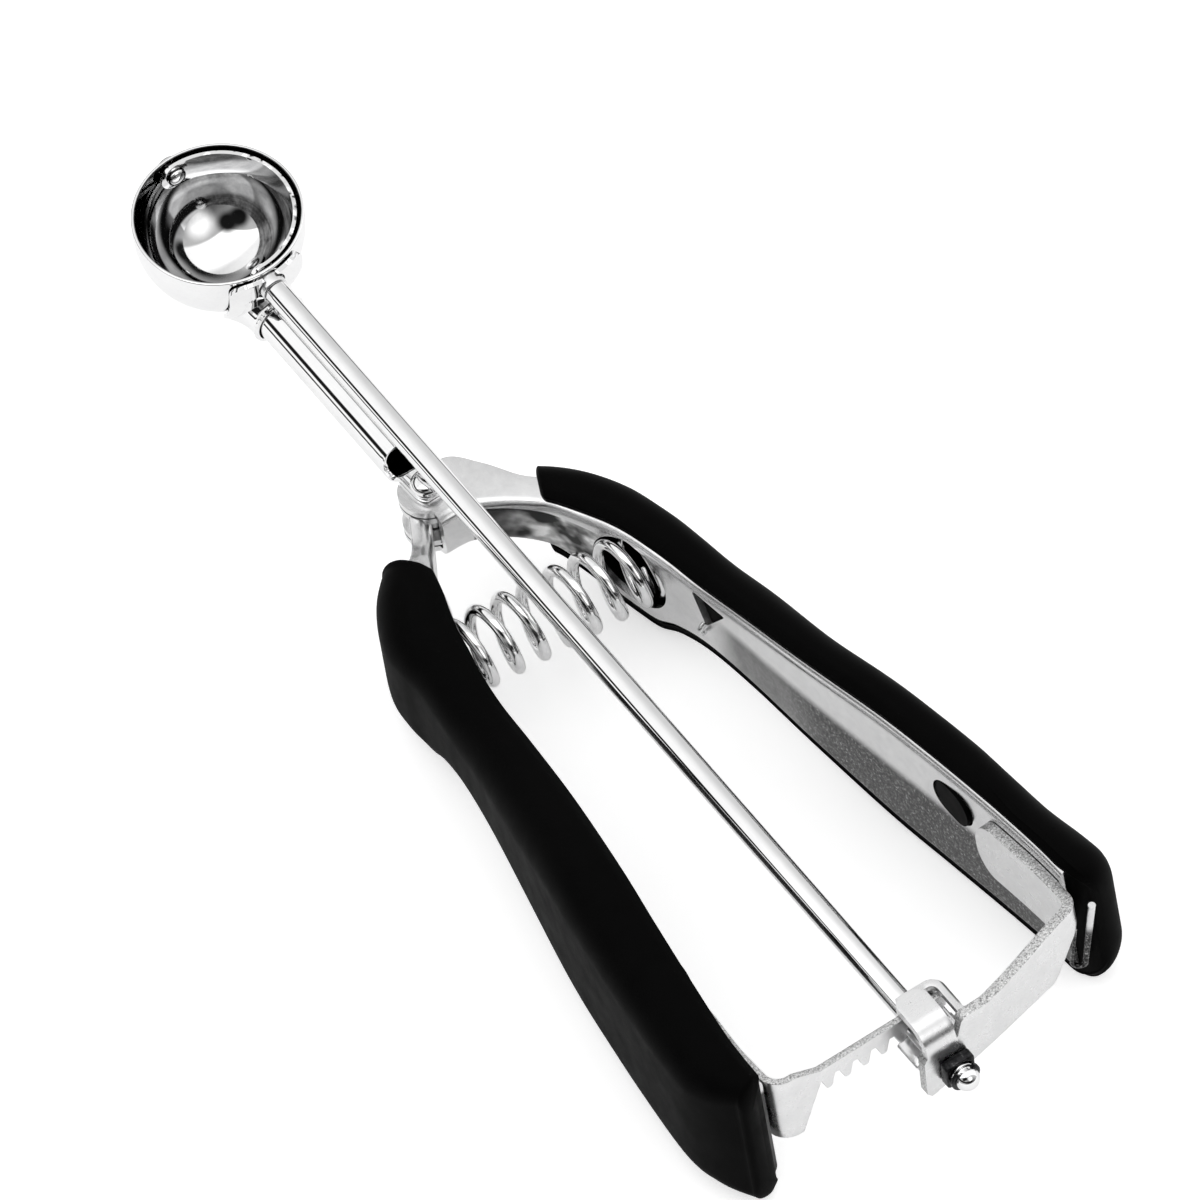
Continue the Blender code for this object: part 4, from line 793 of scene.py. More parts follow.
def make_neck():
    """One sheet: a tube whose top opens in an oblique mouth and whose lower half flattens into a tongue."""
    wall = NECK_SHEET
    middle = NECK_RADIUS - wall / 2
    columns = 64
    flat = HUB_HALF + TONGUE_SEAT + wall / 2
    rows = []
    stations = [(NECK_FRONT - (NECK_FRONT - NECK_CLOSED) * i / 40, math.pi) for i in range(40)]
    for i in range(25):
        a = math.pi / 2 * i / 24
        stations.append((NECK_BACK + (NECK_CLOSED - NECK_BACK) * math.cos(a),
                         math.pi - MOUTH_TURN * math.sin(a)))
    for y, half in stations:
        rows.append([tilted((middle * math.sin(half * t), y, -NECK_DROP - middle * math.cos(half * t)))
                     for t in (2 * i / columns - 1 for i in range(columns + 1))])
    for step in range(1, 37):
        share = step / 36
        blend = share * share * (3 - 2 * share)
        y = NECK_BACK - NECK_FLATTEN * share
        row = []
        for i in range(columns + 1):
            t = 2 * i / columns - 1
            a = (math.pi - MOUTH_TURN) * t
            round_point = Vector(tilted((middle * math.sin(a), y, -NECK_DROP - middle * math.cos(a))))
            width = TONGUE_HALF_WIDTH + TONGUE_FLARE * (1 - share)
            flat_point = Vector((width * t, y, flat))
            row.append(tuple(round_point.lerp(flat_point, blend)))
        rows.append(row)
    back = NECK_BACK - NECK_FLATTEN
    for step in range(1, 17):
        y = back - (back + TONGUE_HALF_WIDTH) * step / 17
        half = TONGUE_HALF_WIDTH if y > 0 else math.sqrt(TONGUE_HALF_WIDTH ** 2 - y ** 2)
        rows.append([(half * (2 * i / columns - 1), y, flat) for i in range(columns + 1)])
    for row in rows[:41]:
        row[0] = row[-1]
    mesh = skin("neck_tube_fine", rows, closed=False)
    made = bmesh.new()
    made.from_mesh(mesh)
    bmesh.ops.remove_doubles(made, verts=made.verts, dist=0.0001)
    bmesh.ops.recalc_face_normals(made, faces=made.faces)
    made.to_mesh(mesh)
    made.free()
    neck = held("neck_tube_fine", mesh)
    thicken(neck, wall)
    rounded(neck, 0.16, 2, 60)
    combine(neck, cylinder("hole", EYELET_BORE, 12), "DIFFERENCE", Matrix.Translation((0, 0, HUB_HALF)))
    smooth(neck.data, 45)
    done(neck, LEVERS, "neck_tube", "frame", "chrome", CHROME)


def make_socket():
    """A height field round the neck: the trumpet and the plate on the bowl in one smooth sheet."""
    ball = BOWL_RADIUS + FIT + SOCKET_SHEET / 2
    ring = NECK_RADIUS + 0.35
    rings = 40
    spokes = 192
    corner = SOCKET_CORNER
    upper = SOCKET_UPPER_CORNER
    rows = []

    def reach(a):
        """How far the outline lies from the neck's axis in a direction."""
        dx, dz = math.cos(a), math.sin(a)
        low, high = ring, 30.0
        for _ in range(40):
            far = (low + high) / 2
            x, z = abs(far * dx), far * dz - NECK_DROP
            inside = x <= SOCKET_HALF_WIDTH and -SOCKET_BOTTOM <= z <= SOCKET_TOP
            if inside and x > SOCKET_HALF_WIDTH - corner and z < corner - SOCKET_BOTTOM:
                inside = math.hypot(x - SOCKET_HALF_WIDTH + corner, z + SOCKET_BOTTOM - corner) <= corner
            if inside and x > SOCKET_HALF_WIDTH - upper and z > SOCKET_TOP - upper:
                inside = math.hypot(x - SOCKET_HALF_WIDTH + upper, z - SOCKET_TOP + upper) <= upper
            if inside:
                low = far
            else:
                high = far
        return low

    far = [reach(math.tau * i / spokes) for i in range(spokes)]
    far = [(far[i - 2] + 2 * far[i - 1] + 3 * far[i] + 2 * far[(i + 1) % spokes] + far[(i + 2) % spokes]) / 9
           for i in range(spokes)]
    for step in range(rings + 1):
        share = (step / rings) ** 1.6
        row = []
        for i in range(spokes):
            a = math.tau * i / spokes
            radius = ring + (far[i] - ring) * share
            x = radius * math.cos(a)
            z = radius * math.sin(a) - NECK_DROP
            on_ball = BOWL_CENTRE - math.sqrt(ball ** 2 - x ** 2 - min(z, 0.0) ** 2)
            flare = SOCKET_RING + SOCKET_FLARE * math.sqrt(max(0.0, (radius - ring) / SOCKET_REACH))
            blend = 0.7
            mix = max(0.0, min(1.0, 0.5 + (flare - on_ball) / (2 * blend)))
            y = on_ball * mix + flare * (1 - mix) - blend * mix * (1 - mix)
            row.append((x, y, z))
        rows.append(row)
    rows.insert(0, [(x, SOCKET_RING - 0.5, z) for x, y, z in rows[0]])
    rows.insert(0, [(1.07 * x, SOCKET_RING - 1.0, 1.07 * (z + NECK_DROP) - NECK_DROP) for x, y, z in rows[0]])
    mesh = skin("bowl_socket_fine", rows, capped=False)
    socket = held("bowl_socket_fine", mesh)
    thicken(socket, SOCKET_SHEET, 0.0)
    rounded(socket, 0.24, 3, 50)
    combine(socket, cylinder("hole", JOURNAL_BORE, 8), "DIFFERENCE",
            Matrix.Translation((0, NOSE, 0)) @ ALONG_Y)
    smooth(socket.data, 45)
    done(socket, ROD, "bowl_socket", "frame", "chrome", CHROME)


# Levers and grips, in the lever frame


def between(before, start, end, after, t):
    slope = end - before
    bend = 2 * before - 5 * start + 4 * end - after
    twist = 3 * (start - end) + after - before
    return start + (slope * t + bend * t ** 2 + twist * t ** 3) / 2


def smooth_rows(shares, half_at_ear):
    padded = [shares[0], *shares, shares[-1]]
    rows = []
    for span in zip(padded, padded[1:], padded[2:], padded[3:]):
        for step in range(ROW_STEPS):
            rows.append(tuple(between(*values, step / ROW_STEPS) for values in zip(*span)))
    rows.append(shares[-1])
    rise = LEVER_HALF - half_at_ear
    return [(back * LEVER_REACH, side * LEVER_SIDE, turned * math.pi / 2, depth * LEVER_FLANGE,
             half_at_ear + top * rise, half_at_ear + bottom * rise, grip * GRIP_DEPTH, top, bottom)
            for back, side, turned, depth, top, bottom, grip in rows]


def spring_seat(hand):
    return SPRING_BACK + hand * math.tan(SPRING_YAW) * (SPRING_LEFT + SPRING_RIGHT) / 2


def web_side(rows, back):
    for front, rear in zip(rows, rows[1:]):
        if front[0] <= back <= rear[0]:
            return front[1] + (rear[1] - front[1]) * (back - front[0]) / (rear[0] - front[0])
    return rows[-1][1]


def placed(row, hand, section):
    back, side, turned = row[:3]
    return [(hand * (side + out * math.cos(turned)), -back + out * math.sin(turned), z) for out, z in section]


def channel(row, hand):
    depth, top, bottom = row[3:6]
    inner = LEVER_BEND - LEVER_SHEET
    q = math.pi / 2
    e = 0.3
    section = arc(depth - e, e - bottom, e, 0, -q, 3)
    section += arc(LEVER_BEND, LEVER_BEND - bottom, LEVER_BEND, 3 * q, 2 * q, 8)
    section += arc(LEVER_BEND, top - LEVER_BEND, LEVER_BEND, 2 * q, q, 8)
    section += arc(depth - e, top - e, e, q, 0, 3)
    section += arc(depth - e, top - LEVER_SHEET + e, e, 0, -q, 3)
    section += arc(LEVER_BEND, top - LEVER_BEND, inner, q, 2 * q, 8)
    section += arc(LEVER_BEND, LEVER_BEND - bottom, inner, 2 * q, 3 * q, 8)
    section += arc(depth - e, LEVER_SHEET - bottom - e, e, q, 0, 3)
    return placed(row, hand, section)


def grip_section(row, hand):
    top, bottom, depth, top_share, bottom_share = row[4:]
    crown, foot = (half + GRIP_PROUD + (LEVER_HALF - half) * min(1.0, max(0.0, share - 0.6) / 0.4) ** 2
                   for half, share in ((top, top_share), (bottom, bottom_share)))
    foot = -foot
    q = math.pi / 2
    corner = min(GRIP_ROUND, depth * 3 / 5)
    if hand > 0:
        corner = min(corner + 0.13 * max(0.0, row[0] - 104), depth * 0.84)
    lip_low = (FIT, -bottom - FIT - GRIP_LIP)
    lip_high = (FIT, top + FIT + GRIP_LIP)
    section = softened([(depth / 2, foot), (GRIP_SHOULDER, foot), lip_low, (FIT + 1, -bottom - FIT)],
                       0.5, 4)[1:-1]
    section += arc(depth - corner, foot + corner, corner, -q, 0, 14)
    section += arc(depth - corner, crown - corner, corner, 0, q, 14)
    section += softened([(depth / 2, crown), (GRIP_SHOULDER, crown), lip_high, (FIT + 1, top + FIT)],
                        0.5, 4)[1:-1]
    start = section[:10]
    section = list(reversed(start)) + section[10:]
    return placed(row, hand, section)


def slot_section(row, hand):
    depth, top, bottom = row[3:6]
    out = depth + FIT
    thick = LEVER_SHEET + 0.1
    gap = 0.1
    section = [(out, -bottom - gap), (-2, -bottom - gap), (-2, top + gap), (out, top + gap)]
    section += [(out, top - thick), (LEVER_BEND, top - thick), (thick, top - LEVER_BEND)]
    section += [(thick, LEVER_BEND - bottom), (LEVER_BEND, thick - bottom), (out, thick - bottom)]
    return placed(row, hand, section)


def moved_on(rows, distance):
    before, last = rows[-2], rows[-1]
    run = math.hypot(last[0] - before[0], last[1] - before[1])
    back = last[0] + (last[0] - before[0]) * distance / run
    side = last[1] + (last[1] - before[1]) * distance / run
    return (back, side, *last[2:])


def drawn_in(row, hand, across, middle, upright):
    """A row's section narrowed about a middle and lowered."""
    flat = grip_section((row[0], 0.0, 0.0, *row[3:]), hand)
    section = [(middle + (hand * out - middle) * across, z * upright) for out, _, z in flat]
    return placed(row, hand, section)


def grip_rings(rows, hand, nose, tail, middle):
    """The sections along a grip, with a rounded nose and a rounded tail."""
    rings = []
    for step in range(8, 0, -1):
        a = math.pi / 2 * step / 8.4
        row = moved_on([rows[1], rows[0]], nose * math.sin(a))
        rings.append(drawn_in(row, hand, 0.55 + 0.45 * math.cos(a), rows[0][6] / 2,
                              0.80 + 0.20 * math.cos(a)))
    rings += [grip_section(row, hand) for row in rows]
    for step in range(1, 15):
        a = math.pi / 2 * step / 14.3
        row = moved_on(rows, tail * math.sin(a))
        rings.append(drawn_in(row, hand, math.cos(a), middle, 0.5 + 0.5 * math.cos(a) ** 0.7))
    return rings


def stadium(back, grow):
    radius = PEG_HALF_HEIGHT + grow
    reach = PEG_HALF_LENGTH - PEG_HALF_HEIGHT
    outline = arc(-back + reach, PEG_RISE, radius, -math.pi / 2, math.pi / 2, 24)
    outline += arc(-back - reach, PEG_RISE, radius, math.pi / 2, 3 * math.pi / 2, 24)
    return outline


RIGHT_ROWS = smooth_rows(RIGHT_LEVER_SHARES, HUB_HALF)
LEFT_ROWS = smooth_rows(LEFT_LEVER_SHARES, EAR_TOP)


def make_lever(node, rows, hand, ear_top, body):
    lever = held(node + "_fine", skin(node, [channel(row, hand) for row in rows]))
    for level in (ear_top - LEVER_SHEET / 2, LEVER_SHEET / 2 - ear_top):
        combine(lever, cylinder("ear", EAR_RADIUS, LEVER_SHEET, 128), "UNION",
                Matrix.Translation((0, 0, level)))
    combine(lever, cylinder("bore", HUB_BORE, 20), "DIFFERENCE")
    seat = Matrix.Translation((hand * web_side(rows, spring_seat(hand)), -spring_seat(hand), -SPRING_DROP))
    combine(lever, cylinder("hole", SPRING_HOLE, 11.5), "DIFFERENCE", seat @ ALONG_X)
    slot = Matrix.Translation((hand * web_side(rows, PEG_BACK), 0, 0)) @ STANDING_YZ
    combine(lever, prism("slot", stadium(PEG_BACK, FIT), 5), "DIFFERENCE", slot)
    notch = Matrix.Translation((hand * web_side(rows, NOTCH_POINT), 0, 0)) @ STANDING_YZ
    outline = [(-NOTCH_POINT, -NOTCH_DROP), (-NOTCH_FRONT, NOTCH_TOP), (-NOTCH_REAR, NOTCH_TOP)]
    outline = softened(outline, 0.7, 4, True)
    combine(lever, prism("notch", outline, 5), "DIFFERENCE", notch)
    if hand > 0:
        combine(lever, make_hem(), "UNION")
        combine(lever, make_burr(rows), "UNION")
    smooth(lever.data, 30)
    done(lever, LEVERS, node, body, "lever_steel", PRESSED)


def tube(name, points, radii, sides=16):
    """A round bar along a line, with closed ends."""
    rings = []
    for i, point in enumerate(points):
        ahead = (points[min(i + 1, len(points) - 1)] - points[max(i - 1, 0)]).normalized()
        out = ahead.cross(Vector((0.31, 0.87, 0.38))).normalized()
        side = ahead.cross(out)
        rings.append([tuple(point + (out * math.cos(a) + side * math.sin(a)) * radii[i])
                      for a in (math.tau * j / sides for j in range(sides))])
    return skin(name, rings, degrees=60)


def make_hem():
    """The lever's rear end, turned over as a narrow U that shows in the grip's tail."""
    across, upright = Vector((0.80, -0.60, 0.0)), Vector((0.09, -0.17, 1.0))
    shape = [(1.15, 9.0 - 1.2 * i) for i in range(13)]
    shape += arc(0.1, -6.2, 1.1, -0.2, -math.pi + 0.2, 12)
    shape += [(-0.95, -5.0 + 1.0 * i) for i in range(9)]
    points = [Vector((29.0, -134.3, -1.0)) + across * x + upright * z for x, z in shape]
    radii = [0.62 - 0.34 * i / (len(shape) - 1) for i in range(len(shape))]
    return tube("hem", points, radii)


def make_burr(rows):
    """A curled tongue left at the lower corner of the three-cornered hole."""
    side = web_side(rows, 45.6) - 0.2
    line = [(0.0, 0.6), (-0.5, 0.2), (-0.9, -0.3), (-1.0, -0.9), (-0.7, -1.4), (-0.2, -1.5), (0.2, -1.2)]
    points = [Vector((side + x, -45.5, -1.6 + z)) for x, z in line]
    return tube("burr", points, [0.42, 0.5, 0.5, 0.48, 0.44, 0.36, 0.22], 12)


def make_grip(node, rows, start, hand, spring_end, body, nose, tail, middle):
    own = [row for row in rows if row[0] > start * LEVER_REACH]
    rubber = [row for row in own if row[0] < 129.0] if hand > 0 else own
    grip = held(node + "_fine", skin(node, grip_rings(rubber, hand, nose, tail, middle)))
    forward = moved_on([own[1], own[0]], nose + 0.5)
    slots = [slot_section(row, hand) for row in (forward, *own, moved_on(own, 0.2))]
    combine(grip, skin("slot", slots), "DIFFERENCE")
    inner = web_side(own, spring_seat(hand)) - 4
    end = spring_end + FIT + (COIL_RADIUS + WIRE_RADIUS) * math.sin(SPRING_YAW)
    for swing in (0.0, POCKET_SWING) if hand < 0 else (0.0,):
        place = Matrix.Translation((hand * (inner + end) / 2, swing - spring_seat(hand), -SPRING_DROP))
        combine(grip, cylinder("pocket", SPRING_HOLE, end - inner), "DIFFERENCE", place @ ALONG_X)
    side = web_side(own, PEG_BACK)
    peg = prism("peg", softened(stadium(PEG_BACK, 0), 0.0, 1), 3.1)
    place = Matrix.Translation((hand * (side + 1.55 - FIT), 0, 0)) @ STANDING_YZ
    combine(grip, peg, "UNION", place)
    smooth(grip.data, 38)
    done(grip, LEVERS, node, body, "black_rubber", RUBBER)


def make_hub():
    top = HUB_HALF + TONGUE_SEAT + 0.8 + 0.05
    profile = [(HUB_DOME_RADIUS * math.sin(a) ** 0.8, top + HUB_DOME_HEIGHT * math.cos(a) ** 0.75)
               for a in (math.pi / 2 * i / 24 for i in range(25))]
    profile[0] = (0.0, top + HUB_DOME_HEIGHT)
    profile[-1] = (HUB_DOME_RADIUS, top)
    foot = -HUB_HALF - 0.1
    profile += [(HUB_SHANK, top), (HUB_SHANK, foot), (HUB_FOOT_RADIUS, foot),
                (HUB_FOOT_RADIUS, foot - 0.5), (2.16, foot - HUB_FOOT_HEIGHT),
                (0.0, foot - HUB_FOOT_HEIGHT)]
    rivet = held("hub_rivet_fine", lathe("hub_rivet_fine", softened(profile, 0.15, 3), 64))
    done(rivet, LEVERS, "hub_rivet", "frame", "chrome", WIRE)
    wall = softened([(2.6, 1.8), (2.6, -1.8), (1.8, -1.8), (1.8, 1.8)], 0.15, 3, True)
    spacer = held("hub_spacer_fine", lathe("hub_spacer_fine", wall, 64, closed=True))
    done(spacer, LEVERS, "hub_spacer", "frame", "stamped_steel", SATIN)


# Rack arm and bracket


def bent_path(corners, radii, steps):
    path = [corners[0]]
    for before, corner, after, radius in zip(corners, corners[1:], corners[2:], radii):
        here = Vector(corner)
        back = (Vector(before) - here).normalized()
        ahead = (Vector(after) - here).normalized()
        half = back.angle(ahead) / 2
        inward = (back + ahead).normalized()
        centre = here + inward * radius / math.sin(half)
        swing = math.copysign(math.pi / 2 - half, back.cross(ahead))
        start = math.atan2(-inward.y, -inward.x)
        path += arc(centre.x, centre.y, radius, start + swing, start - swing, steps)
    path.append(corners[-1])
    return path


def sheet(name, path, lows, highs, leans, height):
    """A bent sheet's middle surface, with rows between its low and its high edge."""
    slope = math.tan(TILT)
    rows = []
    for i in range(7):
        row = []
        for (x, y), low, high, lean in zip(path, lows, highs, leans):
            z = low + (high - low) * i / 6
            row.append((x, y - (z - height) * lean * slope, z))
        rows.append(row)
    return cut_sheet(name, rows)


def cut_sheet(name, rows):
    """A sheet whose rim will take the second of its finishes."""
    mesh = skin(name, rows, closed=False)
    mesh.materials.append(SATIN)
    mesh.materials.append(SHEARED)
    return mesh


def make_rack_arm():
    pitch_radius = RACK_PITCH * PINION_TEETH / math.tau
    pitch_line = tilted((0, -RACK_BACK, 0))[2] + pitch_radius
    tip, root = pitch_line - RACK_ADDENDUM, pitch_line + RACK_DEDENDUM
    top = root + RACK_SPINE
    offset = FIT / 2 + RACK_SHEET / 2
    legs = [RACK_LEG_FRONT + RACK_LEG_LENGTH * i / 16 for i in range(17)]
    path = [(offset - web_side(LEFT_ROWS, back), -back) for back in legs]
    half = RACK_PITCH / 4 - RACK_BACKLASH / 4
    slope = math.tan(RACK_SLOPE)
    tip_half, root_half = half - RACK_ADDENDUM * slope, half + RACK_DEDENDUM * slope
    first = RACK_PITCH * (1.5 - RACK_TEETH) - root_half
    path += bent_path([path[-1], (path[-1][0], -RACK_BACK), (first - RACK_FOOT, -RACK_BACK)],
                      [RACK_BEND], 14)[1:]
    lows = [-RACK_LEG_BOTTOM] * len(path)
    highs = [RACK_LEG_TOP] * len(path)
    for i in range(len(legs)):
        a = min(1.0, i / 5)
        round_off = 1 - math.sqrt(1 - (1 - a) ** 2)
        lows[i] = -RACK_LEG_BOTTOM + 4.6 * round_off
        highs[i] = RACK_LEG_TOP - 3.6 * (1 - i / len(legs)) - 1.5 * round_off
    for i in range(RACK_TEETH):
        centre = RACK_PITCH * (1.5 - RACK_TEETH + i)
        xs = (centre - root_half, centre - tip_half - 0.12, centre - tip_half + 0.12,
              centre + tip_half - 0.12, centre + tip_half + 0.12, centre + root_half)
        zs = (root, tip + 0.16, tip, tip, tip + 0.16, root)
        path += [(x, -RACK_BACK) for x in xs]
        lows += zs
        highs += [top] * 6
    path.append((path[-1][0] + 0.5, -RACK_BACK))
    lows.append(root)
    highs.append(top - 0.9)
    mesh = sheet("rack_arm_fine", path, lows, highs, [0.0] * len(path), 0.0)
    rack = held("rack_arm_fine", mesh)
    thicken(rack, RACK_SHEET, 0.0, 1)
    rounded(rack, 0.17, 3, 50)
    done(rack, LEVERS, "rack_arm", "left_handle", "stamped_steel", SATIN, SHEARED)


def make_bracket():
    x, plate_y, axis_height = tilted((0, -ARM_PLATE_BACK, 0))
    gauge = ARM_GAUGE
    plate_y += (gauge - ARM_SHEET) / 2
    offset = FIT / 2 + gauge / 2
    middle, half = (ARM_LEG_TOP - ARM_LEG_BOTTOM) / 2, (ARM_LEG_TOP + ARM_LEG_BOTTOM) / 2
    path, lows, highs = [], [], []
    for i in range(2, 17):
        a = math.pi / 2 * i / 16
        back = ARM_LEG_FRONT + ARM_NOSE * (1 - math.cos(a))
        path.append((web_side(RIGHT_ROWS, back) - offset, -back))
        lows.append(middle - half * math.sin(a))
        highs.append(middle + half * math.sin(a))
    for i in range(1, 13):
        back = ARM_LEG_FRONT + ARM_NOSE + (ARM_LEG_LENGTH - ARM_NOSE) * i / 12
        path.append((web_side(RIGHT_ROWS, back) - offset, -back))
        lows.append(-ARM_LEG_BOTTOM)
        highs.append(ARM_LEG_TOP)
    elbow = (path[-1][0], -ARM_CORNER_BACK)
    knee = (ARM_KNEE, plate_y)
    run = bent_path([path[-1], elbow, knee, (-ARM_PLATE_END, plate_y)], [ARM_BEND, ARM_KNEE_BEND], 14)[1:-1]
    run += [(6.0 - 11.2 * i / 14, plate_y) for i in range(3, 15)]
    dense = []
    for one, other in zip([path[-1], *run], run):
        gap = math.hypot(other[0] - one[0], other[1] - one[1])
        parts = max(1, int(gap / 1.2))
        dense += [(one[0] + (other[0] - one[0]) * i / parts, one[1] + (other[1] - one[1]) * i / parts)
                  for i in range(1, parts + 1)]
    leans = [0.0] * len(path)
    low_plate, high_plate, low_tip = (axis_height + rise for rise in
                                      (-ARM_PLATE_BOTTOM, ARM_PLATE_TOP, -ARM_TIP_DROP))
    for place in dense:
        share = min(1.0, max(0.0, (elbow[0] - place[0]) / (elbow[0] - knee[0])))
        share = share * share * (3 - 2 * share)
        down = min(1.0, max(0.0, (knee[0] - place[0]) / (knee[0] + ARM_PLATE_END)))
        under = min(1.0, max(0.0, (2.4 - place[0]) / 1.6))
        under = 4.4 * under * under * (3 - 2 * under)
        corner = max(0.0, (-3.6 - place[0]) / 1.6)
        round_off = 1.6 * (1 - math.sqrt(max(0.0, 1 - corner ** 2)))
        leans.append(share)
        lifted = 8.0 * max(0.0, 1 - math.hypot(place[0] - elbow[0], place[1] - elbow[1]) / 6.5)
        lows.append(-ARM_LEG_BOTTOM + (low_plate + ARM_LEG_BOTTOM) * share + (low_tip - low_plate) * down
                    + round_off + lifted)
        highs.append(ARM_LEG_TOP + (high_plate - ARM_LEG_TOP) * share - round_off - under)
    mesh = sheet("arm_bracket_fine", path + dense, lows, highs, leans, axis_height)
    bracket = held("arm_bracket_fine", mesh)
    thicken(bracket, gauge, 0.0, 1)
    bracket.data.transform(ROD.inverted() @ LEVERS)
    fold = bent_path([(-HOOD_FRONT, HOOD_RISE), (-ARM_PLATE_BACK, HOOD_RISE),
                      (-ARM_PLATE_BACK, HOOD_FOOT)], [HOOD_BEND], 14)
    fold = [(-HOOD_FRONT - 0.3 * i, HOOD_RISE) for i in range(10)] + fold[1:]
    strip = []
    for y, z in fold:
        near = max(0.0, 1 - (-HOOD_FRONT - y) / 2.0)
        half = 2.75 - 2.0 * (1 - math.sqrt(max(0.0, 1 - near ** 2)))
        strip.append([(-1.85 + half * (i / 4 - 1), y, z) for i in range(9)])
    hood = held("hood", cut_sheet("hood", strip))
    thicken(hood, HOOD_SHEET, 0.0)
    combine(bracket, hood.data, "UNION")
    bpy.data.objects.remove(hood)
    front_y = -BOX_FRONT - ARM_SHEET / 2
    plan = bent_path([(-BOX_LEFT, front_y), (BOX_SIDE, front_y), (BOX_SIDE, -ARM_PLATE_BACK)],
                     [BOX_BEND], 14)
    count = len(plan)
    panel = sheet("box_wall", plan, [-BOX_BOTTOM] * count, [BOX_TOP] * count, [0.0] * count, 0.0)
    wall = held("box_wall", panel)
    thicken(wall, ARM_SHEET, 0.0)
    combine(bracket, wall.data, "UNION")
    bpy.data.objects.remove(wall)
    window = block("window", (0.7, -139.75, -20.2), (5.9, -133.0, 8.6))
    combine(bracket, window, "DIFFERENCE")
    combine(bracket, cylinder("hole", ROD_BORE, 18), "DIFFERENCE",
            Matrix.Translation((0, -136.05, 0)) @ ALONG_Y)
    rounded(bracket, 0.22, 3, 50)
    done(bracket, ROD, "arm_bracket", "frame", "stamped_steel", BOX, SHEARED)


# Spring


def make_spring():
    """The coil as a tube, finely wound, with its end turns drawn close."""
    stub = 2 * WIRE_RADIUS
    pitch = (SPRING_LEFT + SPRING_RIGHT - 2 * stub - 2 * COIL_END_PITCH) / (COIL_TURNS - 2)
    per_turn = 72
    start = -SPRING_LEFT + WIRE_RADIUS * 0.9
    finish = SPRING_RIGHT - WIRE_RADIUS * 0.9
    lead = -SPRING_LEFT + stub
    points = []
    total = COIL_TURNS * per_turn
    for i in range(-per_turn // 4, total + per_turn // 4 + 1):
        place = i / per_turn
        inner = min(max(place, 0.0), float(COIL_TURNS))
        first = min(inner, 1.0)
        last = max(0.0, inner - (COIL_TURNS - 1))
        along = lead + (first + last) * COIL_END_PITCH + (inner - first - last) * pitch
        along += (place - inner) * 1.6
        along = min(max(along, start), finish)
        points.append(Vector((along, COIL_RADIUS * math.cos(COIL_START + math.tau * place),
                              COIL_RADIUS * math.sin(COIL_START + math.tau * place))))
    for _ in range(12):
        points = [points[0]] + [Vector(((a.x + 2 * b.x + c.x) / 4, b.y, b.z))
                                for a, b, c in zip(points, points[1:], points[2:])] + [points[-1]]
    rings = []
    for i, point in enumerate(points):
        ahead = points[min(i + 1, len(points) - 1)] - points[max(i - 1, 0)]
        ahead.normalize()
        out = Vector((0, point.y, point.z)).normalized()
        side = ahead.cross(out).normalized()
        out = side.cross(ahead).normalized()
        rings.append([tuple(point + (out * math.cos(a) + side * math.sin(a)) * WIRE_RADIUS)
                      for a in (math.tau * j / 24 for j in range(24))])
    for end, toward in ((0, points[0] - points[1]), (-1, points[-1] - points[-2])):
        toward.normalize()
        tips = [[tuple(Vector(p) + (points[end] - Vector(p)) * s + toward * d) for p in rings[end]]
                for s, d in ((0.04, 0.06), (0.16, 0.14), (0.3, 0.17))]
        rings = tips[::-1] + rings if end == 0 else rings + tips
    mesh = skin("compression_spring_fine", rings, degrees=50)
    place = Matrix.Translation((0, -SPRING_BACK, -SPRING_DROP)) @ Matrix.Rotation(-SPRING_YAW, 4, "Z")
    spring = held("compression_spring_fine", mesh, place)
    done(spring, LEVERS, "compression_spring", "frame", "spring_steel", WIRE)
    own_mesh(spring)


make_bowl()
make_blade()
make_blade_rivet()
make_rod()
make_pinion()
make_neck()
make_socket()
make_lever("right_lever", RIGHT_ROWS, 1, HUB_HALF, "frame")
make_lever("left_lever", LEFT_ROWS, -1, EAR_TOP, "left_handle")
make_grip("right_grip", RIGHT_ROWS, 0.108, 1, SPRING_RIGHT, "frame", 0.9, RIGHT_TAIL, RIGHT_TAIL_MIDDLE)
make_grip("left_grip", LEFT_ROWS, 0.114, -1, SPRING_LEFT, "left_handle", 1.9, LEFT_TAIL, 4.5)
make_hub()
make_rack_arm()
make_bracket()
make_spring()


# Floor, light and camera


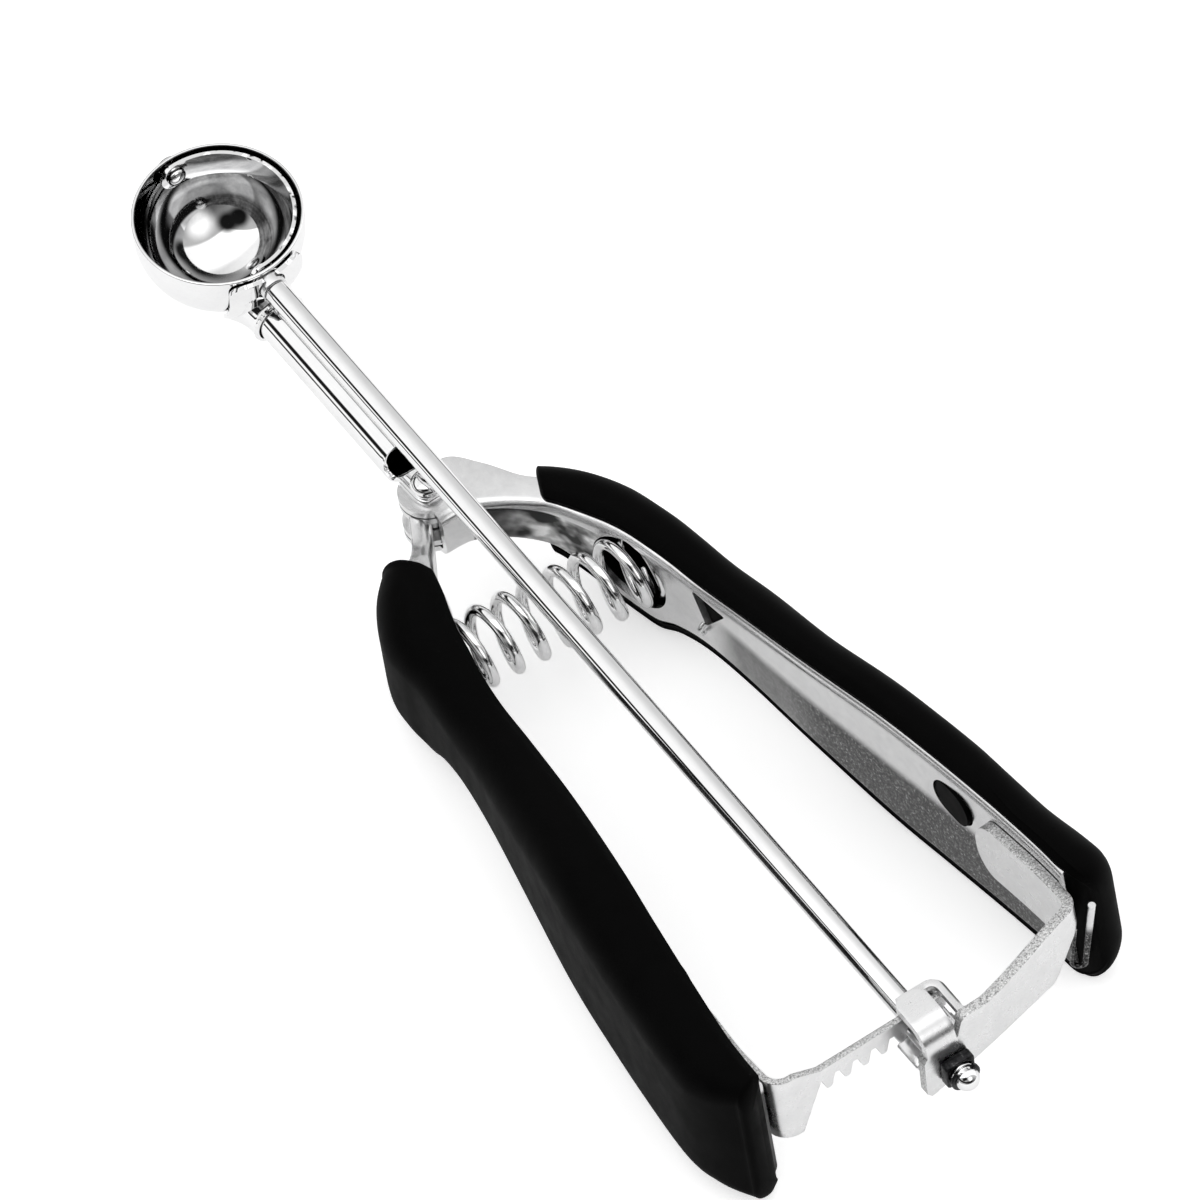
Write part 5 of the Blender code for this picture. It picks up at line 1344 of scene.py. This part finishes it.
def make_floor():
    """A white table that clips to white in the picture and still keeps a light shadow."""
    mesh = prism("floor", arc(0, -0.01, 0.27, 0, math.tau * 95 / 96, 95), 0.01)
    floor = held("floor", mesh, Matrix.Translation((0, 0, -0.0052)))
    made = Finish("white_table", 0.0, 0.0)
    paper = made.noise(30.0, 3.0, 0.5)
    made.colour(made.ramp(paper, [(0.3, (0.865, 0.865, 0.865)), (0.7, (0.88, 0.88, 0.88))]))
    made.shader.inputs["Roughness"].default_value = 0.9
    nodes = made.tree.nodes
    path = nodes.new("ShaderNodeLightPath")
    glow = nodes.new("ShaderNodeEmission")
    lift = nodes.new("ShaderNodeMath")
    lift.operation = "MULTIPLY_ADD"
    lift.inputs[1].default_value = 0.50
    lift.inputs[2].default_value = 0.0
    glossy = nodes.new("ShaderNodeMath")
    glossy.operation = "MULTIPLY_ADD"
    glossy.inputs[1].default_value = 0.16
    made.link(path.outputs["Is Camera Ray"], lift.inputs[0])
    made.link(path.outputs["Is Glossy Ray"], glossy.inputs[0])
    made.link(lift.outputs[0], glossy.inputs[2])
    made.link(glossy.outputs[0], glow.inputs["Strength"])
    add = nodes.new("ShaderNodeAddShader")
    made.link(made.shader.outputs[0], add.inputs[0])
    made.link(glow.outputs[0], add.inputs[1])
    made.link(add.outputs[0], nodes["Material Output"].inputs["Surface"])
    floor.data.materials.append(made.material)


def make_world():
    """A white room for the metal to mirror: a narrow dark band low round it and the dark camera."""
    world = bpy.data.worlds.new("studio")
    scene.world = world
    world.use_nodes = True
    tree = world.node_tree
    nodes = tree.nodes
    link = tree.links.new
    background = nodes["Background"]

    def maths(operation, first, second=None, third=None):
        made = nodes.new("ShaderNodeMath")
        made.operation = operation
        for slot, value in enumerate((first, second, third)):
            if value is None:
                continue
            if isinstance(value, (int, float)):
                made.inputs[slot].default_value = value
            else:
                link(value, made.inputs[slot])
        return made.outputs[0]

    def ease(value, low, high, start=0.0, end=1.0):
        made = nodes.new("ShaderNodeMapRange")
        made.interpolation_type = "SMOOTHSTEP"
        for slot, number in (("From Min", low), ("From Max", high), ("To Min", start), ("To Max", end)):
            made.inputs[slot].default_value = number
        link(value, made.inputs["Value"])
        return made.outputs["Result"]

    coordinates = nodes.new("ShaderNodeTexCoord")
    turned = nodes.new("ShaderNodeVectorRotate")
    turned.rotation_type = "X_AXIS"
    turned.inputs["Angle"].default_value = -TILT
    link(coordinates.outputs["Generated"], turned.inputs["Vector"])
    split = nodes.new("ShaderNodeSeparateXYZ")
    link(turned.outputs["Vector"], split.inputs["Vector"])
    across, along, up = split.outputs

    def near(place, inner, outer):
        """One round a direction, falling to nothing."""
        seen = nodes.new("ShaderNodeVectorMath")
        seen.operation = "DISTANCE"
        link(turned.outputs["Vector"], seen.inputs[0])
        seen.inputs[1].default_value = place
        return ease(seen.outputs["Value"], inner, outer, 1.0, 0.0)

    def blend(first, second, share):
        """From first to second by a share."""
        made = nodes.new("ShaderNodeMix")
        for value, name in ((first, "A"), (second, "B")):
            if isinstance(value, (int, float)):
                made.inputs[name].default_value = value
            else:
                link(value, made.inputs[name])
        link(share, made.inputs["Factor"])
        return made.outputs["Result"]

    room = ease(across, -0.40, 0.85, 1.05, 0.68)
    room = maths("MULTIPLY", room, ease(along, 0.22, 0.44, 1.65, 1.0))
    edge = maths("MULTIPLY_ADD", maths("MAXIMUM", maths("SUBTRACT", -0.377, across), 0.0), -1.4, along)
    behind = ease(edge, -0.40, -0.33, 1.0, 0.0)
    room = blend(room, ease(along, -0.95, -0.45, 0.12, 0.55), behind)
    patch = near((0.13, -0.75, 0.65), 0.12, 0.50)
    room = blend(room, 1.45, maths("MULTIPLY", patch, behind))
    low_band = maths("MULTIPLY", ease(up, 0.13, 0.18), ease(up, 0.38, 0.44, 1.0, 0.0))
    room = blend(room, 0.01, maths("MULTIPLY", low_band, ease(across, 0.10, 0.55, 1.0, 0.0)))
    sunk = maths("MULTIPLY", ease(up, -0.32, -0.24), ease(up, -0.06, 0.0, 1.0, 0.0))
    room = blend(room, 0.02, sunk)
    room = blend(room, 0.01, near((-0.48, -0.42, 0.77), 0.14, 0.36))
    room = blend(room, 0.01, near((-0.72, -0.30, 0.63), 0.14, 0.36))
    path = nodes.new("ShaderNodeLightPath")
    mix = nodes.new("ShaderNodeMix")
    mix.inputs["A"].default_value = 1.0
    link(path.outputs["Is Glossy Ray"], mix.inputs["Factor"])
    link(room, mix.inputs["B"])
    link(mix.outputs["Result"], background.inputs["Strength"])
    background.inputs["Color"].default_value = (1.0, 1.0, 1.0, 1.0)
    world.cycles.sampling_method = "NONE"


def make_camera():
    """Far off and narrow, as the photo's view has almost no perspective."""
    distance = 8000.0
    right = Vector((0.817, -0.573, -0.063)).normalized()
    up = Vector((0.502, 0.654, 0.568))
    up = (up - right * up.dot(right)).normalized()
    back = right.cross(up)
    centre = Vector((0, 56.3, 3)) + 59.2 * right - 59.75 * up
    turn = Matrix.Rotation(TILT, 4, "X")
    look = Matrix((turn @ right, turn @ up, turn @ back)).transposed().to_4x4()
    data = bpy.data.cameras.new("photo_camera")
    data.sensor_width = 36.0
    data.lens = 36.0 / 184.6 * distance
    data.clip_start = 0.1
    data.clip_end = 60.0
    camera = bpy.data.objects.new("photo_camera", data)
    centre = centre - back * back.dot(centre - Vector((0, -45, 0)))
    camera.matrix_world = Matrix.Translation(ROD @ (centre + back * distance)) @ look
    scene.collection.objects.link(camera)
    scene.camera = camera


make_floor()
make_world()
make_camera()
scene.view_settings.view_transform = "Standard"
